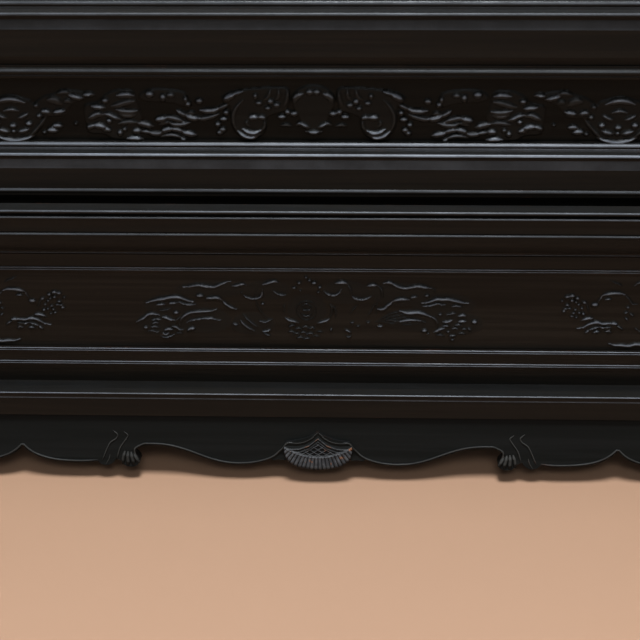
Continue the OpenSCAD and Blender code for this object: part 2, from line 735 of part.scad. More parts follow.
left_foot();
right_foot();
left_post();
right_post();
left_post_cap();
right_post_cap();
left_front_spandrel();
left_back_spandrel();
right_front_spandrel();
right_back_spandrel();
lower_rail();
front_apron();
back_apron();
waist_bottom_rail();
waist_top_rail();
front_waist_panel();
back_waist_panel();
left_waist_stile();
right_waist_stile();
sill_rail();
stand_pegs();
left_stile();
right_stile();
bottom_rail();
middle_rail();
top_rail();
frieze_panel();
frieze_slip_bottom();
frieze_slip_top();
frieze_slip_left();
frieze_slip_right();
frieze_back_fillets();
porcelain_panel();
porcelain_slip_bottom();
porcelain_slip_top();
porcelain_slip_left();
porcelain_slip_right();
back_board();
lower_batten();
middle_batten();
upper_batten();
back_fillet_left();
back_fillet_right();
back_fillet_top();
back_fillet_bottom();
frame_pegs();
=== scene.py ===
"""Looks of the porcelain panel screen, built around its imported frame."""
import math

import bpy
import numpy as np
from bpy.props import FloatProperty, FloatVectorProperty, PointerProperty
from bpy.types import Operator, Panel, PropertyGroup
from mathutils import Matrix, Vector


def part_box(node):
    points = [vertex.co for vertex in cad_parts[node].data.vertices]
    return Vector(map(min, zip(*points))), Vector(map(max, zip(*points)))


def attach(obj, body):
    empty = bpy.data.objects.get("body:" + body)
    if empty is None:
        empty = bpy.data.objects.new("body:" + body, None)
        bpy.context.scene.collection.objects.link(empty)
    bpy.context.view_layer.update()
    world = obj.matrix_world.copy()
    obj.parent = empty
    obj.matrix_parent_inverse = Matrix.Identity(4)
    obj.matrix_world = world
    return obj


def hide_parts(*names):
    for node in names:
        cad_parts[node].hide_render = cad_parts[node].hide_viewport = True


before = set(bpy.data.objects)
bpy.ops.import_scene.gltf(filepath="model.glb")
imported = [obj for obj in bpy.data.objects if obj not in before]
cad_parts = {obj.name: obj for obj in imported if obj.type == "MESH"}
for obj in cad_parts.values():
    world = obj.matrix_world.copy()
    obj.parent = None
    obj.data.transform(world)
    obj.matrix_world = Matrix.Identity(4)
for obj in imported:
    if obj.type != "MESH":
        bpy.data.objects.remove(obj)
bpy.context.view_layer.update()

bl_info = {
    "name": "Porcelain Panel Screen",
    "version": (1, 0, 0),
    "blender": (4, 5, 0),
    "location": "View3D > Sidebar > Screen",
    "description": "Carves, lacquers and paints a porcelain panel screen on its construction frame",
    "category": "Object",
}

MM = 0.001

# Places that the carving takes from the frame, in metres
WAIST_LOW, WAIST_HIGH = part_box("front_waist_panel")
WAIST_STILE_LOW, WAIST_STILE_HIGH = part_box("left_waist_stile")
FRIEZE_LOW, FRIEZE_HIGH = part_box("frieze_panel")
FRIEZE_SLIP_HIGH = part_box("frieze_slip_bottom")[1]
FRIEZE_TOP_SLIP_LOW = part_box("frieze_slip_top")[0]
RAIL_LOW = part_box("lower_rail")[0]
FOOT_LOW, FOOT_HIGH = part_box("right_foot")

# The apron's slope: its top edge sits this far behind the rail's face, and it leans out by this angle
APRON_SET = 2 * MM
APRON_LEAN = math.radians(18)
# How far the rail's bead and the solid shield stand out
RAIL_BEAD = 0.55 * MM
SHIELD_PROUD = 1.6 * MM
# Faces that meet at less than this angle are shaded as one
SMOOTH_ANGLE = math.radians(50)
TINY = 1e-6


# Settings a user would change

COLOUR = {"subtype": "COLOR", "size": 3, "min": 0, "max": 1}


class FinishSettings(PropertyGroup):
    """Colours of the lacquer, its dust and its wear, and of the highlights and shade painted on it"""
    lacquer: FloatVectorProperty(name="Lacquer", description="Colour of the lacquered wood",
                                 default=(0.0050, 0.0046, 0.0037), **COLOUR)
    lacquer_warm: FloatVectorProperty(name="Warm lacquer", description="Colour of the browner streaks",
                                      default=(0.0088, 0.0073, 0.0055), **COLOUR)
    dust: FloatVectorProperty(name="Dust", description="Colour of the dust on faces that look up",
                              default=(0.0045, 0.0048, 0.0056), **COLOUR)
    wear: FloatVectorProperty(name="Wear", description="Colour of the wood where the lacquer is rubbed off",
                              default=(0.060, 0.020, 0.009), **COLOUR)
    # Painted shade: the aprons are painted darker near the top, as shade under the rail, and paler at their
    # lower edge; Apron is the darker colour, Lower apron the paler one
    apron: FloatVectorProperty(name="Apron", description="Colour of the dull lacquer on the aprons",
                               default=(0.0046, 0.0049, 0.0043), **COLOUR)
    apron_low_unshaded: FloatVectorProperty(name="Lower apron", description="Dusty colour of the aprons' lower edge",
                                   default=(0.0078, 0.0080, 0.0074), **COLOUR)
    ground: FloatVectorProperty(name="Carving ground", description="Colour of the ground behind the carving",
                                default=(0.0108, 0.0090, 0.0070), **COLOUR)
    raised: FloatVectorProperty(name="Carving", description="Colour of the raised carving",
                                default=(0.0125, 0.0122, 0.0108), **COLOUR)
    # Painted shade: the frieze's ground is painted darker than the waist's, as shade in its recess under the
    # slips
    frieze_shaded_ground: FloatVectorProperty(name="Frieze ground", description="Colour of the frieze's ground",
                                       default=(0.0036, 0.0034, 0.0027), **COLOUR)
    frieze_raised: FloatVectorProperty(name="Frieze carving", description="Colour of the frieze's carving",
                                       default=(0.0220, 0.0215, 0.0200), **COLOUR)
    # Painted highlight: colour of the rounded edges that turn up to the light
    painted_highlight: FloatVectorProperty(name="Crowns", description="Colour of rounded edges that are rubbed pale",
                               default=(0.115, 0.125, 0.145), **COLOUR)
    raw_wood: FloatVectorProperty(name="Back boards", description="Colour of the oiled back boards",
                                  default=(0.060, 0.034, 0.018), **COLOUR)


class CarvingSettings(PropertyGroup):
    """Depths of the carving"""
    waist_relief: FloatProperty(name="Waist relief", description="How far the waist carving stands out",
                                unit="LENGTH", min=0.0002, max=0.003, default=1.15 * MM)
    frieze_relief: FloatProperty(name="Frieze relief", description="How far the frieze carving stands out",
                                 unit="LENGTH", min=0.0005, max=0.0045, default=1.5 * MM)
    edge_bead: FloatProperty(name="Edge bead", description="Radius of the bead along the aprons' lower edge",
                             unit="LENGTH", min=0.0003, max=0.0015, default=0.62 * MM)


class StageSettings(PropertyGroup):
    """Camera, floor and lights"""
    camera_place: FloatVectorProperty(name="Camera place", description="Where the camera stands",
                                      subtype="TRANSLATION", size=3, default=(0.0287, -0.6776, 0.5284))
    camera_turn: FloatProperty(name="Camera turn", description="How far the camera looks to the left",
                               subtype="ANGLE", default=math.radians(2.4))
    camera_pitch: FloatProperty(name="Camera pitch", description="How far the camera looks down",
                                subtype="ANGLE", default=math.radians(34))
    camera_roll: FloatProperty(name="Camera roll", description="How far the camera leans",
                               subtype="ANGLE", default=math.radians(-0.9))
    lens: FloatProperty(name="Lens", description="Focal length in millimetres", min=20, max=200, default=90)
    floor: FloatVectorProperty(name="Floor", description="Colour of the plain floor",
                               default=(0.30, 0.175, 0.108), **COLOUR)
    front_power: FloatProperty(name="Front light", description="Power of the soft light in front, in watts",
                               min=0, default=12)
    low_power: FloatProperty(name="Low light", description="Power of the weak light low in front, in watts",
                             min=0, default=3)
    over_power: FloatProperty(name="Overhead light", description="Power of the overhead light, in watts",
                              min=0, default=128)
    side_power: FloatProperty(name="Side lights", description="Power of each light at the side, in watts",
                              min=0, default=14)
    back_power: FloatProperty(name="Back light", description="Power of the soft light behind, in watts",
                              min=0, default=30)
    room: FloatProperty(name="Room light", description="Strength of the light from all round",
                        min=0, default=0.16)


# Shader nodes

# Colour inputs and colour output of a mix node
MIX_FIRST, MIX_SECOND, MIX_RESULT = 6, 7, 2
PLACE_SOCKET = ("Place", "NodeSocketVector", None)
# A height ramp reaches up to this height in metres, and its numbers up to this one
RAMP_TOP = 0.25
RAMP_MOST = 2
# Height in millimetres and the roughness of the rails there: what the cloth reaches easily is glossier
ROUGHNESS_BY_HEIGHT = [(40, 0.42), (46, 0.42), (60, 0.27), (70, 0.27), (78, 0.36), (125, 0.36),
                       (137, 0.50), (144, 0.46), (152, 0.36), (160, 0.50), (172, 0.50), (178, 0.26),
                       (184, 0.25), (190, 0.38), (215, 0.42), (221, 0.50), (245, 0.40)]
# Height in millimetres and how strong the painted highlight on the rounded edges is there
HIGHLIGHT_BY_HEIGHT = [(30, 0.8), (45, 0.7), (60, 1.7), (70, 1.8), (78, 1.5), (106, 1.5), (125, 0.9),
                    (141, 0.36), (150, 0.75), (160, 0.45), (171, 0.38), (176, 1.2), (182, 2.0), (188, 1.2),
                    (213, 1.1), (221, 0.22), (240, 0.4)]


def feed(tree, node, inputs):
    """Links or sets a node's inputs, by name or number."""
    for key, value in inputs.items():
        if isinstance(value, bpy.types.NodeSocket):
            tree.links.new(value, node.inputs[key])
        else:
            node.inputs[key].default_value = value


def add_node(tree, kind, inputs=None, **settings):
    """Adds a node, sets its properties and feeds its inputs."""
    made = tree.nodes.new(kind)
    for key, value in settings.items():
        setattr(made, key, value)
    feed(tree, made, inputs or {})
    return made


def math_node(tree, operation, first, second, clamp=False):
    """One arithmetic step on numbers or sockets."""
    return add_node(tree, "ShaderNodeMath", {0: first, 1: second}, operation=operation,
                    use_clamp=clamp).outputs[0]


def product(tree, first, *others):
    """Numbers or sockets multiplied together."""
    for other in others:
        first = math_node(tree, "MULTIPLY", first, other)
    return first


def mix_colour(tree, share, first, second):
    """Colour between first and second, by share."""
    node = add_node(tree, "ShaderNodeMix", {0: share}, data_type="RGBA")
    for key, value in ((MIX_FIRST, first), (MIX_SECOND, second)):
        feed(tree, node, {key: value if isinstance(value, bpy.types.NodeSocket) else (*value, 1)})
    return node.outputs[MIX_RESULT]


def remap(tree, value, low, high, to_low=0.0, to_high=1.0):
    """Value spread from low..high to to_low..to_high, smoothly and clamped."""
    return add_node(tree, "ShaderNodeMapRange", {0: value, 1: low, 2: high, 3: to_low, 4: to_high},
                    interpolation_type="SMOOTHSTEP").outputs[0]


def noise(tree, place, scale, detail, roughness=0.5, distortion=0.0):
    """Cloudy noise between 0 and 1."""
    return add_node(tree, "ShaderNodeTexNoise", {
        "Vector": place, "Scale": scale, "Detail": detail, "Roughness": roughness,
        "Distortion": distortion}).outputs[0]


def height_of(tree, vector):
    """The upward part of a vector."""
    return add_node(tree, "ShaderNodeSeparateXYZ", {0: vector}).outputs["Z"]


def face_normal(tree):
    """The direction a face looks."""
    return add_node(tree, "ShaderNodeNewGeometry").outputs["Normal"]


def height_ramp(group, place, levels):
    """A number that changes with the height, from a list of heights in millimetres and numbers."""
    share_up = math_node(group, "DIVIDE", height_of(group, place), RAMP_TOP, clamp=True)
    ramp = add_node(group, "ShaderNodeValToRGB", {0: share_up})
    stops = ramp.color_ramp.elements
    stops.remove(stops[1])
    for number, (level, share) in enumerate(levels):
        stop = stops.new(level * MM / RAMP_TOP) if number else stops[0]
        stop.position = level * MM / RAMP_TOP
        stop.color = (*[share / RAMP_MOST] * 3, 1)
    return math_node(group, "MULTIPLY", ramp.outputs[0], RAMP_MOST)


def new_group(name, inputs, outputs):
    """An empty node group with named sockets. An input is (name, kind, default)."""
    group = bpy.data.node_groups.new(name, "ShaderNodeTree")
    for socket, kind, default in inputs:
        made = group.interface.new_socket(socket, in_out="INPUT", socket_type=kind)
        if default is not None:
            made.default_value = default
    for socket in outputs:
        group.interface.new_socket(socket, in_out="OUTPUT", socket_type="NodeSocketFloat")
    return group, group.nodes.new("NodeGroupInput").outputs, group.nodes.new("NodeGroupOutput").inputs


def grain_group():
    """Long streaks and fine pores that run along a piece of timber."""
    group, given, wanted = new_group("Timber Grain", [
        PLACE_SOCKET, ("Stretch", "NodeSocketVector", (1, 1, 1))], ["Streaks", "Pores"])
    along = add_node(group, "ShaderNodeVectorMath", {0: given["Place"], 1: given["Stretch"]},
                     operation="MULTIPLY").outputs[0]
    broad = noise(group, along, scale=1.0, detail=4.0, roughness=0.62, distortion=0.4)
    fine = noise(group, along, scale=7.0, detail=3.0, roughness=0.7)
    group.links.new(remap(group, broad, 0.36, 0.68), wanted["Streaks"])
    group.links.new(remap(group, fine, 0.42, 0.62), wanted["Pores"])
    return group


def dust_group():
    """Dust that settles on what looks up, thicker in some places."""
    group, given, wanted = new_group("Settled Dust", [
        PLACE_SOCKET, ("Amount", "NodeSocketFloat", 0.7)], ["Mask"])
    lying = remap(group, height_of(group, face_normal(group)), 0.25, 0.98)
    patches = noise(group, given["Place"], scale=38.0, detail=6.0, roughness=0.72)
    specks = noise(group, given["Place"], scale=900.0, detail=2.0)
    uneven = product(group, remap(group, patches, 0.3, 0.7, 0.45, 1.0),
                     remap(group, specks, 0.3, 0.75, 0.35, 1.0))
    group.links.new(product(group, lying, uneven, given["Amount"]), wanted["Mask"])
    return group


def wear_group():
    """Edges and beads that are rubbed, in patches."""
    group, given, wanted = new_group("Rubbed Edge", [
        PLACE_SOCKET, ("Radius", "NodeSocketFloat", 1.2 * MM), ("Amount", "NodeSocketFloat", 0.6)], ["Mask"])
    rounded = add_node(group, "ShaderNodeBevel", {"Radius": given["Radius"]}, samples=4).outputs[0]
    likeness = add_node(group, "ShaderNodeVectorMath", {0: rounded, 1: face_normal(group)},
                        operation="DOT_PRODUCT").outputs[1]
    edge = remap(group, likeness, 0.97, 0.72)
    patches = noise(group, given["Place"], scale=55.0, detail=7.0, roughness=0.78)
    wear_and_highlight = remap(group, patches, 0.52, 0.68)
    group.links.new(product(group, edge, wear_and_highlight, given["Amount"]), wanted["Mask"])
    return group


def polish_group():
    """Roughness of the rails by height, without the grain's share."""
    group, given, wanted = new_group("Polish by Height", [PLACE_SOCKET], ["Value"])
    group.links.new(height_ramp(group, given["Place"], ROUGHNESS_BY_HEIGHT), wanted["Value"])
    return group


def highlight_band_group():
    """Painted highlight on rounded edges that turn up to the light, set by height and dimmed as painted
    shade where they are sheltered.
    """
    group, given, wanted = new_group("Rubbed Crown", [
        PLACE_SOCKET, ("Amount", "NodeSocketFloat", 0.7)], ["Mask"])
    upward = height_of(group, face_normal(group))
    # Painted shade: the highlight is dimmed where nearby parts shelter the edge
    openness = add_node(group, "ShaderNodeAmbientOcclusion", {"Distance": 5 * MM}, samples=6)
    patches = noise(group, given["Place"], scale=60.0, detail=5.0, roughness=0.6)
    band = product(group, remap(group, upward, 0.0, 0.55), remap(group, upward, 0.98, 0.7),
                   remap(group, openness.outputs["AO"], 0.72, 0.98, 0.22, 1.0),
                   height_ramp(group, given["Place"], HIGHLIGHT_BY_HEIGHT),
                   remap(group, patches, 0.3, 0.7, 0.55, 1.0))
    group.links.new(math_node(group, "MULTIPLY", band, given["Amount"], clamp=True), wanted["Mask"])
    return group


def speck_group():
    """Small pale specks, here and there."""
    group, given, wanted = new_group("Pale Specks", [
        PLACE_SOCKET, ("Count", "NodeSocketFloat", 60.0), ("Size", "NodeSocketFloat", 0.03),
        ("Share", "NodeSocketFloat", 0.25)], ["Mask"])
    cells = add_node(group, "ShaderNodeTexVoronoi", {"Vector": given["Place"], "Scale": given["Count"]})
    chance = add_node(group, "ShaderNodeSeparateColor", {0: cells.outputs["Color"]}).outputs[0]
    chosen = math_node(group, "LESS_THAN", chance, given["Share"])
    dot = math_node(group, "LESS_THAN", cells.outputs["Distance"], product(group, given["Size"], chance))
    group.links.new(product(group, chosen, dot), wanted["Mask"])
    return group


GROUP_MAKERS = {"Timber Grain": grain_group, "Settled Dust": dust_group, "Rubbed Edge": wear_group,
                "Rubbed Crown": highlight_band_group, "Pale Specks": speck_group, "Polish by Height": polish_group}


def use_group(tree, name, inputs):
    """Places a shared group in a material, making it the first time."""
    group = bpy.data.node_groups.get(name) or GROUP_MAKERS[name]()
    return add_node(tree, "ShaderNodeGroup", inputs, node_tree=group).outputs


# Materials

# Stretch of the grain along a piece's length
ALONG_X = (6.0, 260.0, 260.0)
ALONG_Y = (260.0, 6.0, 260.0)
ALONG_Z = (260.0, 260.0, 6.0)
ALONG_BACK_BOARDS = (5.0, 60.0, 150.0)
WEAR_RADIUS = 1.1 * MM
# Colours of small marks and of pairs of tones
PALE_SPECK = (0.20, 0.205, 0.215)
# Colour of the painted highlight on the aprons' beads
APRON_HIGHLIGHT = (0.105, 0.100, 0.090)
SHIELD_TONES = (0.030, 0.030, 0.031), (0.056, 0.055, 0.056)
BARE_SPOT = (0.16, 0.070, 0.035)
BACK_DUST = (0.05, 0.045, 0.04)
GLAZE_TONES = (0.38, 0.41, 0.43), (0.42, 0.445, 0.45)
GLAZE_SPECK = (0.16, 0.13, 0.10)
LINE_BLUES = (0.006, 0.016, 0.085), (0.012, 0.032, 0.150)
WASH_BLUES = (0.050, 0.100, 0.240), (0.150, 0.215, 0.330)
# The glaze lies over the porcelain and its painting alike
GLAZE_SHINE = {"Specular IOR Level": 0.5, "Coat Weight": 0.6, "Coat Roughness": 0.04}


def new_material(name):
    """A material with its node tree, its shader and its Object coordinates."""
    material = bpy.data.materials.new(name)
    material.use_nodes = True
    tree = material.node_tree
    place = tree.nodes.new("ShaderNodeTexCoord").outputs["Object"]
    return material, tree, tree.nodes["Principled BSDF"], place


def add_bump(tree, shader, height, strength, distance):
    """Makes a surface look uneven by a height between 0 and 1."""
    bump = add_node(tree, "ShaderNodeBump", {"Strength": strength, "Distance": distance, "Height": height})
    tree.links.new(bump.outputs[0], shader.inputs["Normal"])


def carved_height(tree):
    """How far a carved piece is raised, from its relief marks."""
    return add_node(tree, "ShaderNodeAttribute", attribute_name="relief").outputs["Fac"]


def toned(colour, factor):
    """A colour made darker or paler."""
    return tuple(factor * part for part in colour)


def lacquer_material(name, stretch, dust=0.6, wear=0.5, painted_highlight=0.8, roughness=0.34, specks=0.1,
                     shine=0.14, dark=None, lower=None, highlight_colour=None):
    """Near-black lacquer over hardwood, with grain, dust, rubbed edges, a painted highlight on rounded edges
    that turn up, and a few specks. With a lower colour it is painted darker near the top as shade and
    changes to that colour downwards, and without a roughness its polish goes by the height."""
    colours = bpy.context.scene.screen_finish
    material, tree, shader, place = new_material(name)
    grain = use_group(tree, "Timber Grain", {"Place": place, "Stretch": stretch})
    dusty = use_group(tree, "Settled Dust", {"Place": place, "Amount": dust})["Mask"]
    wear_and_highlight = use_group(tree, "Rubbed Edge", {"Place": place, "Radius": WEAR_RADIUS, "Amount": wear})["Mask"]
    highlight_mask = use_group(tree, "Rubbed Crown", {"Place": place, "Amount": painted_highlight})["Mask"]
    dots = use_group(tree, "Pale Specks", {"Place": place, "Share": specks})["Mask"]
    colour = mix_colour(tree, grain["Streaks"], dark or colours.lacquer, lower or colours.lacquer_warm)
    # Painted shade: the piece darkens towards the top, as shade under the rail above, and keeps its lower
    # colour at the bottom
    if lower:
        shade_fade_downward = remap(tree, height_of(tree, place), FOOT_HIGH.z - 4 * MM, FOOT_LOW.z + 8 * MM)
        colour = mix_colour(tree, shade_fade_downward, dark, colour)
    colour = mix_colour(tree, dusty, colour, colours.dust)
    # Painted highlight on rounded edges that turn up to the light; the same mask gives them a coat
    colour = mix_colour(tree, highlight_mask, colour, highlight_colour or colours.painted_highlight)
    colour = mix_colour(tree, wear_and_highlight, colour, colours.wear)
    colour = mix_colour(tree, dots, colour, PALE_SPECK)
    if roughness is None:
        roughness = use_group(tree, "Polish by Height", {"Place": place})["Value"]
    dull = math_node(tree, "ADD", remap(tree, grain["Pores"], 0.0, 1.0, -0.03, 0.07), roughness)
    dull = math_node(tree, "ADD", product(tree, dusty, 0.45), dull, clamp=True)
    feed(tree, shader, {"Base Color": colour, "Roughness": dull, "Specular IOR Level": shine,
                        "Coat Weight": product(tree, highlight_mask, 0.8), "Coat Roughness": 0.28})
    add_bump(tree, shader, grain["Pores"], 0.22, 0.05 * MM)
    return material


def apron_material(name, painted_highlight):
    """Dull lacquer of the aprons, painted darker near the top as shade under the rail and paler towards
    their lower edge.
    """
    colours = bpy.context.scene.screen_finish
    return lacquer_material(name, ALONG_X, dust=0.9, wear=0.75, painted_highlight=painted_highlight, roughness=0.52, specks=0.45,
                            shine=0.07, dark=colours.apron, lower=colours.apron_low_unshaded,
                            highlight_colour=APRON_HIGHLIGHT)


def shield_material():
    """Carved shield: dark hollows, paler ridges and petals, and a few spots worn to bare wood."""
    colours = bpy.context.scene.screen_finish
    material, tree, shader, place = new_material("apron_shield_lacquer")
    raised = carved_height(tree)
    patches = noise(tree, place, scale=420.0, detail=3.0)
    pale = mix_colour(tree, remap(tree, patches, 0.35, 0.65), *SHIELD_TONES)
    bare = noise(tree, place, scale=160.0, detail=2.0)
    spots = product(tree, remap(tree, bare, 0.62, 0.68), remap(tree, raised, 0.5, 0.8))
    colour = mix_colour(tree, remap(tree, raised, 0.15, 0.85), colours.apron, pale)
    feed(tree, shader, {"Base Color": mix_colour(tree, spots, colour, BARE_SPOT),
                        "Roughness": remap(tree, patches, 0.3, 0.7, 0.5, 0.7), "Specular IOR Level": 0.07})
    return material


def painted_material(name, tones):
    """Cobalt painting under the glaze, uneven as brushwork is."""
    material, tree, shader, place = new_material(name)
    tone = noise(tree, place, scale=70.0, detail=5.0)
    feed(tree, shader, {"Base Color": mix_colour(tree, remap(tree, tone, 0.32, 0.68), *tones),
                        "Roughness": remap(tree, tone, 0.3, 0.7, 0.12, 0.2), **GLAZE_SHINE})
    return material


def raw_wood_material():
    """Oiled plain boards at the back."""
    colours = bpy.context.scene.screen_finish
    material, tree, shader, place = new_material("oiled_back_wood")
    grain = use_group(tree, "Timber Grain", {"Place": place, "Stretch": ALONG_BACK_BOARDS})
    colour = mix_colour(tree, grain["Streaks"], colours.raw_wood, toned(colours.raw_wood, 0.42))
    dusty = use_group(tree, "Settled Dust", {"Place": place, "Amount": 0.6})["Mask"]
    feed(tree, shader, {"Base Color": mix_colour(tree, dusty, colour, BACK_DUST),
                        "Roughness": remap(tree, grain["Pores"], 0.0, 1.0, 0.52, 0.68),
                        "Specular IOR Level": 0.35})
    add_bump(tree, shader, grain["Pores"], 0.4, 0.1 * MM)
    return material


def porcelain_material():
    """White glaze with a faint blue cast and a slightly uneven surface."""
    material, tree, shader, place = new_material("white_glaze")
    clouds = noise(tree, place, scale=9.0, detail=4.0)
    colour = mix_colour(tree, remap(tree, clouds, 0.3, 0.7), *GLAZE_TONES)
    specks = use_group(tree, "Pale Specks", {"Place": place, "Count": 90.0, "Size": 0.05,
                                             "Share": 0.3})["Mask"]
    ripple = noise(tree, place, scale=26.0, detail=1.0)
    feed(tree, shader, {"Base Color": mix_colour(tree, specks, colour, GLAZE_SPECK),
                        "Roughness": remap(tree, ripple, 0.3, 0.7, 0.10, 0.17), **GLAZE_SHINE})
    add_bump(tree, shader, ripple, 0.15, 0.6 * MM)
    return material


def carved_material(name, low, high, wear_and_highlight, grey_from, grey_to):
    """Lacquered carving: a ground, greyer raised areas, and a painted highlight on the crests."""
    colours = bpy.context.scene.screen_finish
    material, tree, shader, place = new_material(name)
    grain = use_group(tree, "Timber Grain", {"Place": place, "Stretch": ALONG_X})
    dusty = use_group(tree, "Settled Dust", {"Place": place, "Amount": 0.35})["Mask"]
    raised = carved_height(tree)
    ground = mix_colour(tree, grain["Streaks"], low, toned(low, 1.7))
    grey = mix_colour(tree, grain["Pores"], high, toned(high, 0.8))
    colour = mix_colour(tree, remap(tree, raised, grey_from, grey_to), ground, grey)
    colour = mix_colour(tree, dusty, colour, colours.dust)
    # Painted highlight on the crests that turn up to the light; the same mask gives them a coat
    crest = remap(tree, raised, 0.4, 1.0)
    highlight_mask = use_group(tree, "Rubbed Crown", {"Place": place, "Amount": wear_and_highlight})["Mask"]
    shine = product(tree, crest, highlight_mask)
    dull = math_node(tree, "SUBTRACT", remap(tree, grain["Pores"], 0.0, 1.0, 0.38, 0.46),
                     product(tree, crest, 0.12))
    feed(tree, shader, {"Base Color": mix_colour(tree, shine, colour, colours.painted_highlight), "Roughness": dull,
                        "Specular IOR Level": 0.08, "Coat Weight": product(tree, shine, 0.5),
                        "Coat Roughness": 0.3})
    add_bump(tree, shader, grain["Pores"], 0.3, 0.06 * MM)
    return material


def floor_material():
    """Plain pale floor."""
    stage = bpy.context.scene.screen_stage
    material, tree, shader, place = new_material("pale_floor")
    tone = noise(tree, place, scale=3.0, detail=3.0)
    feed(tree, shader, {"Base Color": mix_colour(tree, tone, stage.floor, toned(stage.floor, 0.94)),
                        "Roughness": remap(tree, tone, 0.3, 0.7, 0.5, 0.6), "Specular IOR Level": 0.25})
    return material


# Carving on a fine grid, drawn in millimetres

# Marks for the material: a swelling counts as raised from this height on, and has this mark
RAISED_FROM = 0.12
RAISED_MARK = 0.3
# Strokes and knobs are carved this much broader than they are drawn, and a stroke thins to this share
STROKE_BROADER = 1.1
KNOB_BROADER = 1.05
THINNEST = 0.45
# Width of a plate's rounded edge
PLATE_EDGE = 0.8


def smooth_path(points, step=0.22):
    """Points about every step along a smooth curve through the drawn points."""
    drawn = np.array(points, float)
    if len(drawn) == 2:
        count = max(2, int(np.hypot(*(drawn[1] - drawn[0])) / step) + 1)
        return drawn[0] + np.linspace(0, 1, count)[:, None] * (drawn[1] - drawn[0])
    knots = np.vstack([2 * drawn[0] - drawn[1], drawn, 2 * drawn[-1] - drawn[-2]])
    pieces = []
    for a, b, c, d in zip(knots, knots[1:], knots[2:], knots[3:]):
        t = np.linspace(0, 1, max(2, int(np.hypot(*(c - b)) / step) + 1), endpoint=False)[:, None]
        pieces.append(0.5 * (2 * b + (c - a) * t + (2 * a - 5 * b + 4 * c - d) * t ** 2
                             + (3 * b - a - 3 * c + d) * t ** 3))
    return np.vstack([*pieces, drawn[-1:]])


class Carving:
    """Heights of a carved face over a grid, in millimetres. A ridge is drawn on top of the swellings."""

    def __init__(self, columns, rows):
        self.x, self.z = np.meshgrid(columns, rows, indexing="ij")
        self.swell = np.zeros_like(self.x)
        self.lines = np.zeros_like(self.x)
        self.crest = np.zeros_like(self.x)

    def height(self):
        """Height over the ground."""
        return self.swell + self.lines

    def marks(self):
        """0 on the ground, RAISED_MARK on raised areas, up to 1 on the crests."""
        return np.maximum(RAISED_MARK * np.clip(self.swell / RAISED_FROM, 0, 1), self.crest)

    def clear(self, outside):
        """Flattens the rows that a frame covers."""
        for layer in (self.swell, self.lines, self.crest):
            layer[:, outside] = 0

    def ridge(self, points, width=0.8, height=1.0, taper=0.3):
        """A round-topped line that thins towards its ends."""
        path = smooth_path(points)
        near = ((self.x > path[:, 0].min() - width) & (self.x < path[:, 0].max() + width)
                & (self.z > path[:, 1].min() - width) & (self.z < path[:, 1].max() + width))
        if not near.any():
            return
        gap = np.hypot(self.x[near][:, None] - path[:, 0], self.z[near][:, None] - path[:, 1])
        share = np.linspace(0, 1, len(path))
        thick = width * np.clip(np.minimum(share, 1 - share) / max(taper, TINY), 0, 1) ** 0.5 + TINY
        thick = np.maximum(thick, THINNEST * width)
        rise = np.sqrt(np.clip(1 - (gap / thick) ** 2, 0, 1))
        self.lines[near] = np.maximum(self.lines[near], height * (rise * thick / width).max(axis=1))
        self.crest[near] = np.maximum(self.crest[near], height * rise.max(axis=1))

    def plate(self, outline, height):
        """A flat raised area with a rounded edge."""
        path = smooth_path([*outline, outline[0]])
        near = ((self.x > path[:, 0].min()) & (self.x < path[:, 0].max())
                & (self.z > path[:, 1].min()) & (self.z < path[:, 1].max()))
        x, z = self.x[near][:, None], self.z[near][:, None]
        start, end = path[:-1], path[1:]
        rising = np.where(end[:, 1] == start[:, 1], TINY, end[:, 1] - start[:, 1])
        spans = (start[:, 1] > z) != (end[:, 1] > z)
        crossed = spans & (x < start[:, 0] + (end[:, 0] - start[:, 0]) * (z - start[:, 1]) / rising)
        inside = crossed.sum(axis=1) % 2 == 1
        gap = np.hypot(x - path[:, 0], z - path[:, 1]).min(axis=1)
        rise = height * np.sqrt(1 - (1 - np.clip(gap / PLATE_EDGE, 0, 1)) ** 2)
        self.swell[near] = np.maximum(self.swell[near], np.where(inside, rise, 0))

    def ball(self, x, z, radius=1.2, height=1.1, squash=1.0):
        """A round or oval knob."""
        away = np.hypot((self.x - x) / squash, self.z - z) / radius
        rise = height * np.sqrt(np.clip(1 - away ** 2, 0, 1))
        self.lines = np.maximum(self.lines, rise)
        self.crest = np.maximum(self.crest, rise)

    def arc(self, x, z, radius, start=0.0, end=360.0, width=0.7, height=1.0, taper=0.0, squash=1.0):
        """Part of a ring, from start to end in degrees, anticlockwise from the right."""
        count = max(6, int(abs(end - start) / 20) + 2)
        turns = np.radians(np.linspace(start, end, count))
        ring = zip(x + squash * radius * np.cos(turns), z + radius * np.sin(turns))
        self.ridge(list(ring), width, height, taper)

    def mound(self, x, z, across, up, height):
        """A soft swelling under the lines."""
        away = ((self.x - x) / across) ** 2 + ((self.z - z) / up) ** 2
        self.swell = np.maximum(self.swell, height * np.clip(1 - away ** 2, 0, 1) ** 0.6)


def mirror_strokes(strokes, about):
    """The same strokes, mirrored left to right about an upright line."""
    return [(half, height, [(2 * about - x, z) for x, z in points]) for half, height, points in strokes]


